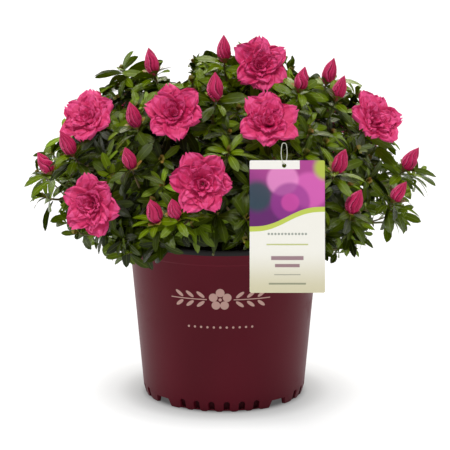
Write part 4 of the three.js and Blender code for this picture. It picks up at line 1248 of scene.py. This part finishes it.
def petal_points(heads, head_axes, item):
    """Petals as grids in polar form round the bloom's axis. The middle line's lean grows from the claw's
    to the tip's, its radius and height are the running sums of sine and cosine of the lean, a point
    aside from it is turned round the axis by its distance over the radius, and waves lift the edge."""
    side, other = across_axes(head_axes)
    v = np.linspace(0, 1, PETAL_ROWS)[:, None]
    u = np.linspace(-1, 1, PETAL_COLUMNS)[None]
    blade = np.clip((v - 0.28) / 0.72, 0, 1)
    rounded_end = (1 - (np.clip(v - 0.62, 0, 1) / 0.39) ** 2.5) ** 0.4
    breadth = (0.20 + 0.80 * smooth_step(v, 0.10, 0.56)) * rounded_end
    row = np.linspace(0, 1, PETAL_ROWS - 1)
    made = []
    kinds = []
    for order, (count, length, half, claw, open_by, tip_lean, waves) in enumerate(PETAL_WHORLS):
        deep = DEEP_PART + DEEPER_INSIDE * order
        kind = np.select([row < deep, row > RIM_FROM], [2, 3], 0 if order < 2 else 1)
        kinds.append(np.tile(np.repeat(kind, PETAL_COLUMNS - 1), len(heads) * count))
        for petal in range(count):
            draws = [chance(item * 40 + order * 10 + petal, n)[:, None, None] for n in range(12)]
            lean = claw + (open_by - claw) * smooth_step(v, 0, 0.62) + (tip_lean - open_by) * v**3
            unevenly = 14 * (draws[2] - 0.5) + 6 * (draws[10] - 0.5) * u
            lean = np.radians(lean + unevenly * smooth_step(v, 0, 0.6))
            step = length * (0.92 + 0.14 * draws[1]) / (PETAL_ROWS - 1)
            radius = 0.0007 + np.cumsum(np.sin(lean) * step, axis=1)
            height = np.cumsum(np.cos(lean) * step, axis=1)
            wide = half * (0.9 + 0.2 * draws[3]) * breadth
            scallops = 1 - np.abs(np.sin(1.5 * np.pi * u + 3.1 * draws[8]))
            notches = NOTCH_SHARE * np.sin(3.7 * np.pi * u + 6.3 * draws[9]) ** 2
            rounded = 1 - (0.05 * np.abs(u) ** 2.6 + SCALLOP_DEPTH * (scallops + notches)) * blade**3
            wave = np.sin(3.1 * np.pi * u + 6.3 * draws[4]) + 0.6 * np.sin(5.7 * np.pi * u + 6.3 * draws[5])
            wave = waves * wave * (0.25 + 0.75 * np.abs(u)) * blade**1.5
            furl = 0.22 * (draws[6] - 0.4) * u * wide * blade
            height = height * (1 - 0.10 * u * u * blade) + wave + furl + 0.15 * wide * u * u * blade
            ripple = 0.3 * waves * np.sin(2.2 * np.pi * u + 6.3 * draws[7]) * blade**2
            twist = 2 * np.pi * (petal + 0.5 * (order % 2) + 0.3 * (draws[11] - 0.5)) / count
            phase = 2 * np.pi * chance(item, 77)[:, None, None] + 0.3 * order
            turn = twist + phase + u * wide / np.maximum(radius, LEAST_WIND)
            out = radius * rounded + ripple
            parts = [(out * np.cos(turn), side), (out * np.sin(turn), other), (height, head_axes)]
            made.append(from_heads(heads, parts))
    return np.concatenate(made), np.concatenate(kinds)


def petal_recipe(low, high):
    """A recipe for a petal: thin matt tissue whose pink drifts, with faint veins. It has a faint painted
    glow that stands in for the light that comes through from its other side."""

    def recipe(place):
        veins = grain(place, 700, 4)
        tissue = blend(ramp(grain(place, 70, 3), 0.3, 0.7) * 0.7 + veins * 0.3, low, high)
        return surface(tissue, 0.55, relief(veins, 0.0008), PETAL_GLOSS, PETAL_PAINTED_GLOW)

    return recipe


petal_deep = finish("petal_deep", petal_recipe("640522", "860c34"))
petal_finishes = [
    finish("petal_pink", petal_recipe("ae184f", "ca4071")),
    finish("petal_rose", petal_recipe("a01245", "be2d60")),
    petal_deep,
    finish("petal_rim", petal_recipe("bc2c64", "d65288")),
]
bloom_heads = tips[shoot_kinds == BLOOM]
bloom_axes = axes[shoot_kinds == BLOOM]
near_blooms = sum(faces is not None for faces in mass_faces[: len(MASSES)])
for half, chosen in (("near", slice(0, near_blooms)), ("far", slice(near_blooms, None))):
    bloom_item = np.arange(len(bloom_heads))[chosen] + 1
    petals, petal_kinds = petal_points(bloom_heads[chosen], bloom_axes[chosen], bloom_item)
    faces = [copies(grid_faces(PETAL_ROWS, PETAL_COLUMNS), len(petals), PETAL_ROWS * PETAL_COLUMNS)]
    add_piece(f"blooms_{half}", petals, faces, petal_finishes, "foliage", petal_kinds)


# Buds
# Furled buds about to open: a spindle of petals wound round each other in spiral ridges, pink on the
# ridges and crimson in the grooves, in a cup of small olive bracts.
BUD_ROWS = 22
BUD_COLUMNS = 90
BUD_FOLDS = 7
BUD_TWIST = 24
# Where a fold is highest, as a share of the way across it, and the bud's radius in the grooves and how
# much the folds rise from them, as shares of the profile.
FOLD_CREST = 0.86
GROOVE_RADIUS = 0.74
FOLD_RISE = 0.32
# Shares of the way across a fold: its crimson groove runs from the first over its edge to the second, its
# pale edge starts, and a darker streak runs along its middle.
GROOVE = (0.95, 0.13)
EDGE_FROM = 0.85
STREAK_MIDDLE = 0.42
STREAK_HALF = 0.08
# Radius and height of a bud, from its foot to its tip.
BUD_PROFILE = [
    (0.0028, -0.001), (0.0070, 0.004), (0.0099, 0.010), (0.0108, 0.016), (0.0100, 0.022),
    (0.0076, 0.029), (0.0044, 0.035), (0.0016, 0.0395), (0.0004, 0.0415),
]


def bud_points(heads, head_axes, sizes, item):
    """Spindles of overlapping folds: round the bud each fold's radius climbs as the root of its share of
    the turn and drops at its edge. The folds wind and waver as they rise, and are of unequal widths."""
    side, other = across_axes(head_axes)
    foot, top = BUD_PROFILE[0][1], BUD_PROFILE[-1][1]
    height = (np.linspace(0, 1, BUD_ROWS) * (top - foot) + foot)[:, None]
    radius = np.interp(height, [z for _, z in BUD_PROFILE], [r for r, _ in BUD_PROFILE])
    turn = 2 * np.pi * np.arange(BUD_COLUMNS) / BUD_COLUMNS
    first, second, third = (6.3 * chance(item, draw)[:, None, None] for draw in (5, 6, 7))

    def fold_share(around, at):
        wound = around + BUD_TWIST * at + 0.22 * np.sin(190 * at + first) + 0.45 * np.sin(around + second)
        return (BUD_FOLDS * wound / (2 * np.pi)) % 1

    share = fold_share(turn, height)
    fold = np.where(share < FOLD_CREST, np.sqrt(share / FOLD_CREST), (1 - share) / (1 - FOLD_CREST))
    sizes = sizes[:, None, None]
    wide = radius * (GROOVE_RADIUS + FOLD_RISE * fold) * sizes
    spin = turn + third
    height_here = height * sizes + 0 * wide
    parts = [(wide * np.cos(spin), side), (wide * np.sin(spin), other), (height_here, head_axes)]
    middle = fold_share(turn + np.pi / BUD_COLUMNS, (height[:-1] + height[1:]) / 2)
    is_groove = (middle < GROOVE[1]) | (middle > GROOVE[0])
    is_streak = np.abs(middle - STREAK_MIDDLE) < STREAK_HALF
    return from_heads(heads, parts), np.select([is_groove, middle > EDGE_FROM, is_streak], [1, 2, 3])


bud_item = np.arange(len(bud_sizes)) + 31
is_bud = shoot_kinds == BUD
buds, bud_kinds = bud_points(tips[is_bud], axes[is_bud], bud_sizes, bud_item)
bud_finishes = [
    finish("bud_pink", petal_recipe("a41648", "bd2d60")),
    petal_deep,
    finish("bud_edge", petal_recipe("c04070", "d05a84")),
    finish("bud_streak", petal_recipe("8c0c38", "a41648")),
]
bud_faces = closed_faces(BUD_ROWS, BUD_COLUMNS, len(buds))
bud_kinds = np.concatenate([bud_kinds.ravel(), np.zeros(2 * len(buds))])
add_piece("buds", buds, bud_faces, bud_finishes, "foliage", bud_kinds)


# Bracts
# Small papery scales, olive to yellow brown, that hold a bud at its foot and close the tip of a shoot
# that has none.
BRACTS = 6
BRACT_LENGTH = 0.014
BRACT_WIDTH = 2.1
LOWEST_BRACTS = 0.275
# Round a bud, and elsewhere: how far bracts spread in radians, the radius of their ring, and their size.
BRACT_SPREAD = (0.62, 0.14)
BRACT_RING = (0.0030, 0.0012)
BRACT_SIZE = (1, 0.7)


def bract_recipe(place):
    """Dry scales: olive drifting into a yellow brown, with fine ribs."""
    drift = ramp(grain(place, 130, 3), 0.35, 0.65)
    return surface(blend(drift, "626a18", "87641e"), 0.6, relief(grain(place, 1300, 2), 0.0006))


def bract_points():
    """Bracts as small broad leaves on the shoots at the crown's skin: round a bud's foot they stand close
    to it, and elsewhere they meet."""
    held = (all_kinds == BUD) | ((all_kinds > INNER) & at_skin & (all_tips[:, 2] > LOWEST_BRACTS))
    at, way, item = all_tips[held][:, None], all_axes[held], np.flatnonzero(held)[:, None] + 900
    side, other = across_axes(way)
    way = way[:, None]
    number = np.arange(BRACTS)
    out = spokes(side[:, None], other[:, None], 2 * np.pi * (number / BRACTS + chance(item, 1)))
    is_bud = (all_kinds[held] == BUD)[:, None, None]
    spread = np.where(is_bud, *BRACT_SPREAD) + 0.2 * (chance(item, 20 + number) - 0.5)[..., None]
    along = way * np.cos(spread) + out * np.sin(spread)
    roots = at + out * np.where(is_bud, *BRACT_RING) - way * 0.002
    across = unit(np.cross(way + 0 * along, along))
    length = BRACT_LENGTH * (0.75 + 0.5 * chance(item, 30 + number))
    length = length * np.where(is_bud[..., 0], *BRACT_SIZE)
    flat = [part.reshape(-1, 3) for part in (roots, along, across)]
    return leaf_points(*flat, length.ravel(), np.arange(length.size) + 0.5, BRACT_WIDTH)


bracts = bract_points()
bract_faces = [copies(leaf_quads, len(bracts), leaf_size)]
add_piece("bracts", bracts, bract_faces, [finish("bract", bract_recipe)], "foliage")


# Hang tag and its tie
# A printed card with rounded corners, on a loop of thin white plastic. Its print is a plain design:
# soft discs of violet and magenta over a wave, a lime band, and pale ground with thin rules.
TAG_EDGE = 0.0002
INK = 0.75
# The row of beads: how far apart they are, their radius, their height on the card and the row's half
# length.
BEAD = 0.0045
BEAD_RADIUS = 0.0014
BEADS_UP = 0.078
BEADS_HALF = 0.026
# The wave under the picture: its height in the card's middle, how it slopes, and the depth and turn of
# its swing, then the lime band's width under it, and where the pale header starts and ends.
WAVE_UP = 0.101
WAVE_SLOPE = 0.26
WAVE_DEPTH = 0.004
WAVE_TURN = 62
LIME_BAND = 0.007
HEADER_UP = 0.1640
HEADER_TO = 0.0165
HEADER_EDGE = 0.0003
# The rules: their height on the card, half length, thickness and colour.
RULES = [
    (0.064, 0.027, 0.0008, "a3ad42"), (0.046, 0.021, 0.0022, "6a1f4a"), (0.036, 0.016, 0.0018, "6a1f4a"),
    (0.024, 0.017, 0.0006, "8c8d80"), (0.012, 0.024, 0.0010, "6f7660"),
]
# The discs: their place across and up the card, radius, softness, share and colour.
DISCS = [
    (-0.040, 0.128, 0.020, 0.006, 0.9, "24424a"), (0.030, 0.136, 0.024, 0.004, 0.8, "cf5fb0"),
    (-0.006, 0.150, 0.021, 0.003, 0.75, "e08cc6"), (0.004, 0.120, 0.026, 0.003, 0.7, "8b2f86"),
    (0.004, 0.120, 0.012, 0.002, 0.7, "c7479d"), (0.052, 0.166, 0.016, 0.005, 1.0, "a9b648"),
]


def tag_recipe(place):
    """The card's print, by the distance across from its middle and up from its lower edge: a pale ground
    with rules and beads, a lime band along a wave, and the picture of discs above it. A square of a
    distance is compared with a square where only the distance's size counts."""
    across = place.node("ShaderNodeSeparateXYZ", inputs={"Vector": place}) - float(TAG_FOOT[0])
    up_way = {0: place, 1: tuple(TAG_UP.tolist())}
    up = place.node("ShaderNodeVectorMath", {"operation": "DOT_PRODUCT"}, up_way, output=1)
    up = up - float(TAG_FOOT @ TAG_UP)

    def under(square, limit, looser):
        return 1 - ramp(square, limit**2, looser**2)

    shifted = across + BEAD
    from_bead = shifted.math("PINGPONG", shifted, BEAD) - BEAD / 2
    from_row = (up - BEADS_UP) * (up - BEADS_UP)
    beads = 1 - ramp((from_bead * from_bead + from_row) ** 0.5, BEAD_RADIUS, BEAD_RADIUS + 2 * TAG_EDGE)
    ground = blend(ramp(up, 0.0, 0.060), "c6c1a4", "e4e3dc")
    beads = beads * under(across * across, BEADS_HALF, BEADS_HALF + TAG_EDGE)
    ground = blend(beads * INK, ground, "66756a")
    for height, half, thick, tint in RULES:
        near = under((up - height) * (up - height), thick, thick * 1.4)
        ground = blend(near * under(across * across, half, half * 1.05) * INK, ground, tint)
    picture = blend(ramp(up + across * 0.5, 0.09, 0.16), "5c1f63", "a4408a")
    for x, y, radius, soft, share, tint in DISCS:
        away = ((across - x) ** 2 + (up - y) ** 2) ** 0.5
        picture = blend((1 - ramp(away, radius - soft, radius + soft)) * share, picture, tint)
    wave = WAVE_UP + across * WAVE_SLOPE + across.math("SINE", across * WAVE_TURN) * WAVE_DEPTH
    above = up - wave
    print_colour = blend(ramp(above, -LIME_BAND, -LIME_BAND + 2 * TAG_EDGE), ground, "b6c455")
    print_colour = blend(ramp(above, -TAG_EDGE, TAG_EDGE), print_colour, picture)
    header = 1 - ramp(across, HEADER_TO, HEADER_TO + HEADER_EDGE)
    header = ramp(up, HEADER_UP, HEADER_UP + HEADER_EDGE) * header
    print_colour = blend(header, print_colour, "e6e5e0")
    return surface(print_colour, 0.34 + 0.1 * grain(place, 120, 2), relief(grain(place, 500, 2), 0.0001))


# The tie is thin milky plastic with faint drawn streaks.
tie_recipe = mottled((300, 2), "bcc0ac", "d4d7c6", 0.4, (1500, 2), 0.0001)
card = finish("printed_card", tag_recipe)
tie = finish("white_plastic", tie_recipe)
for node_name, made in (("hang_tag", card), ("hang_tag_tie", tie)):
    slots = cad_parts[node_name].data.materials
    slots.clear()
    slots.append(made)
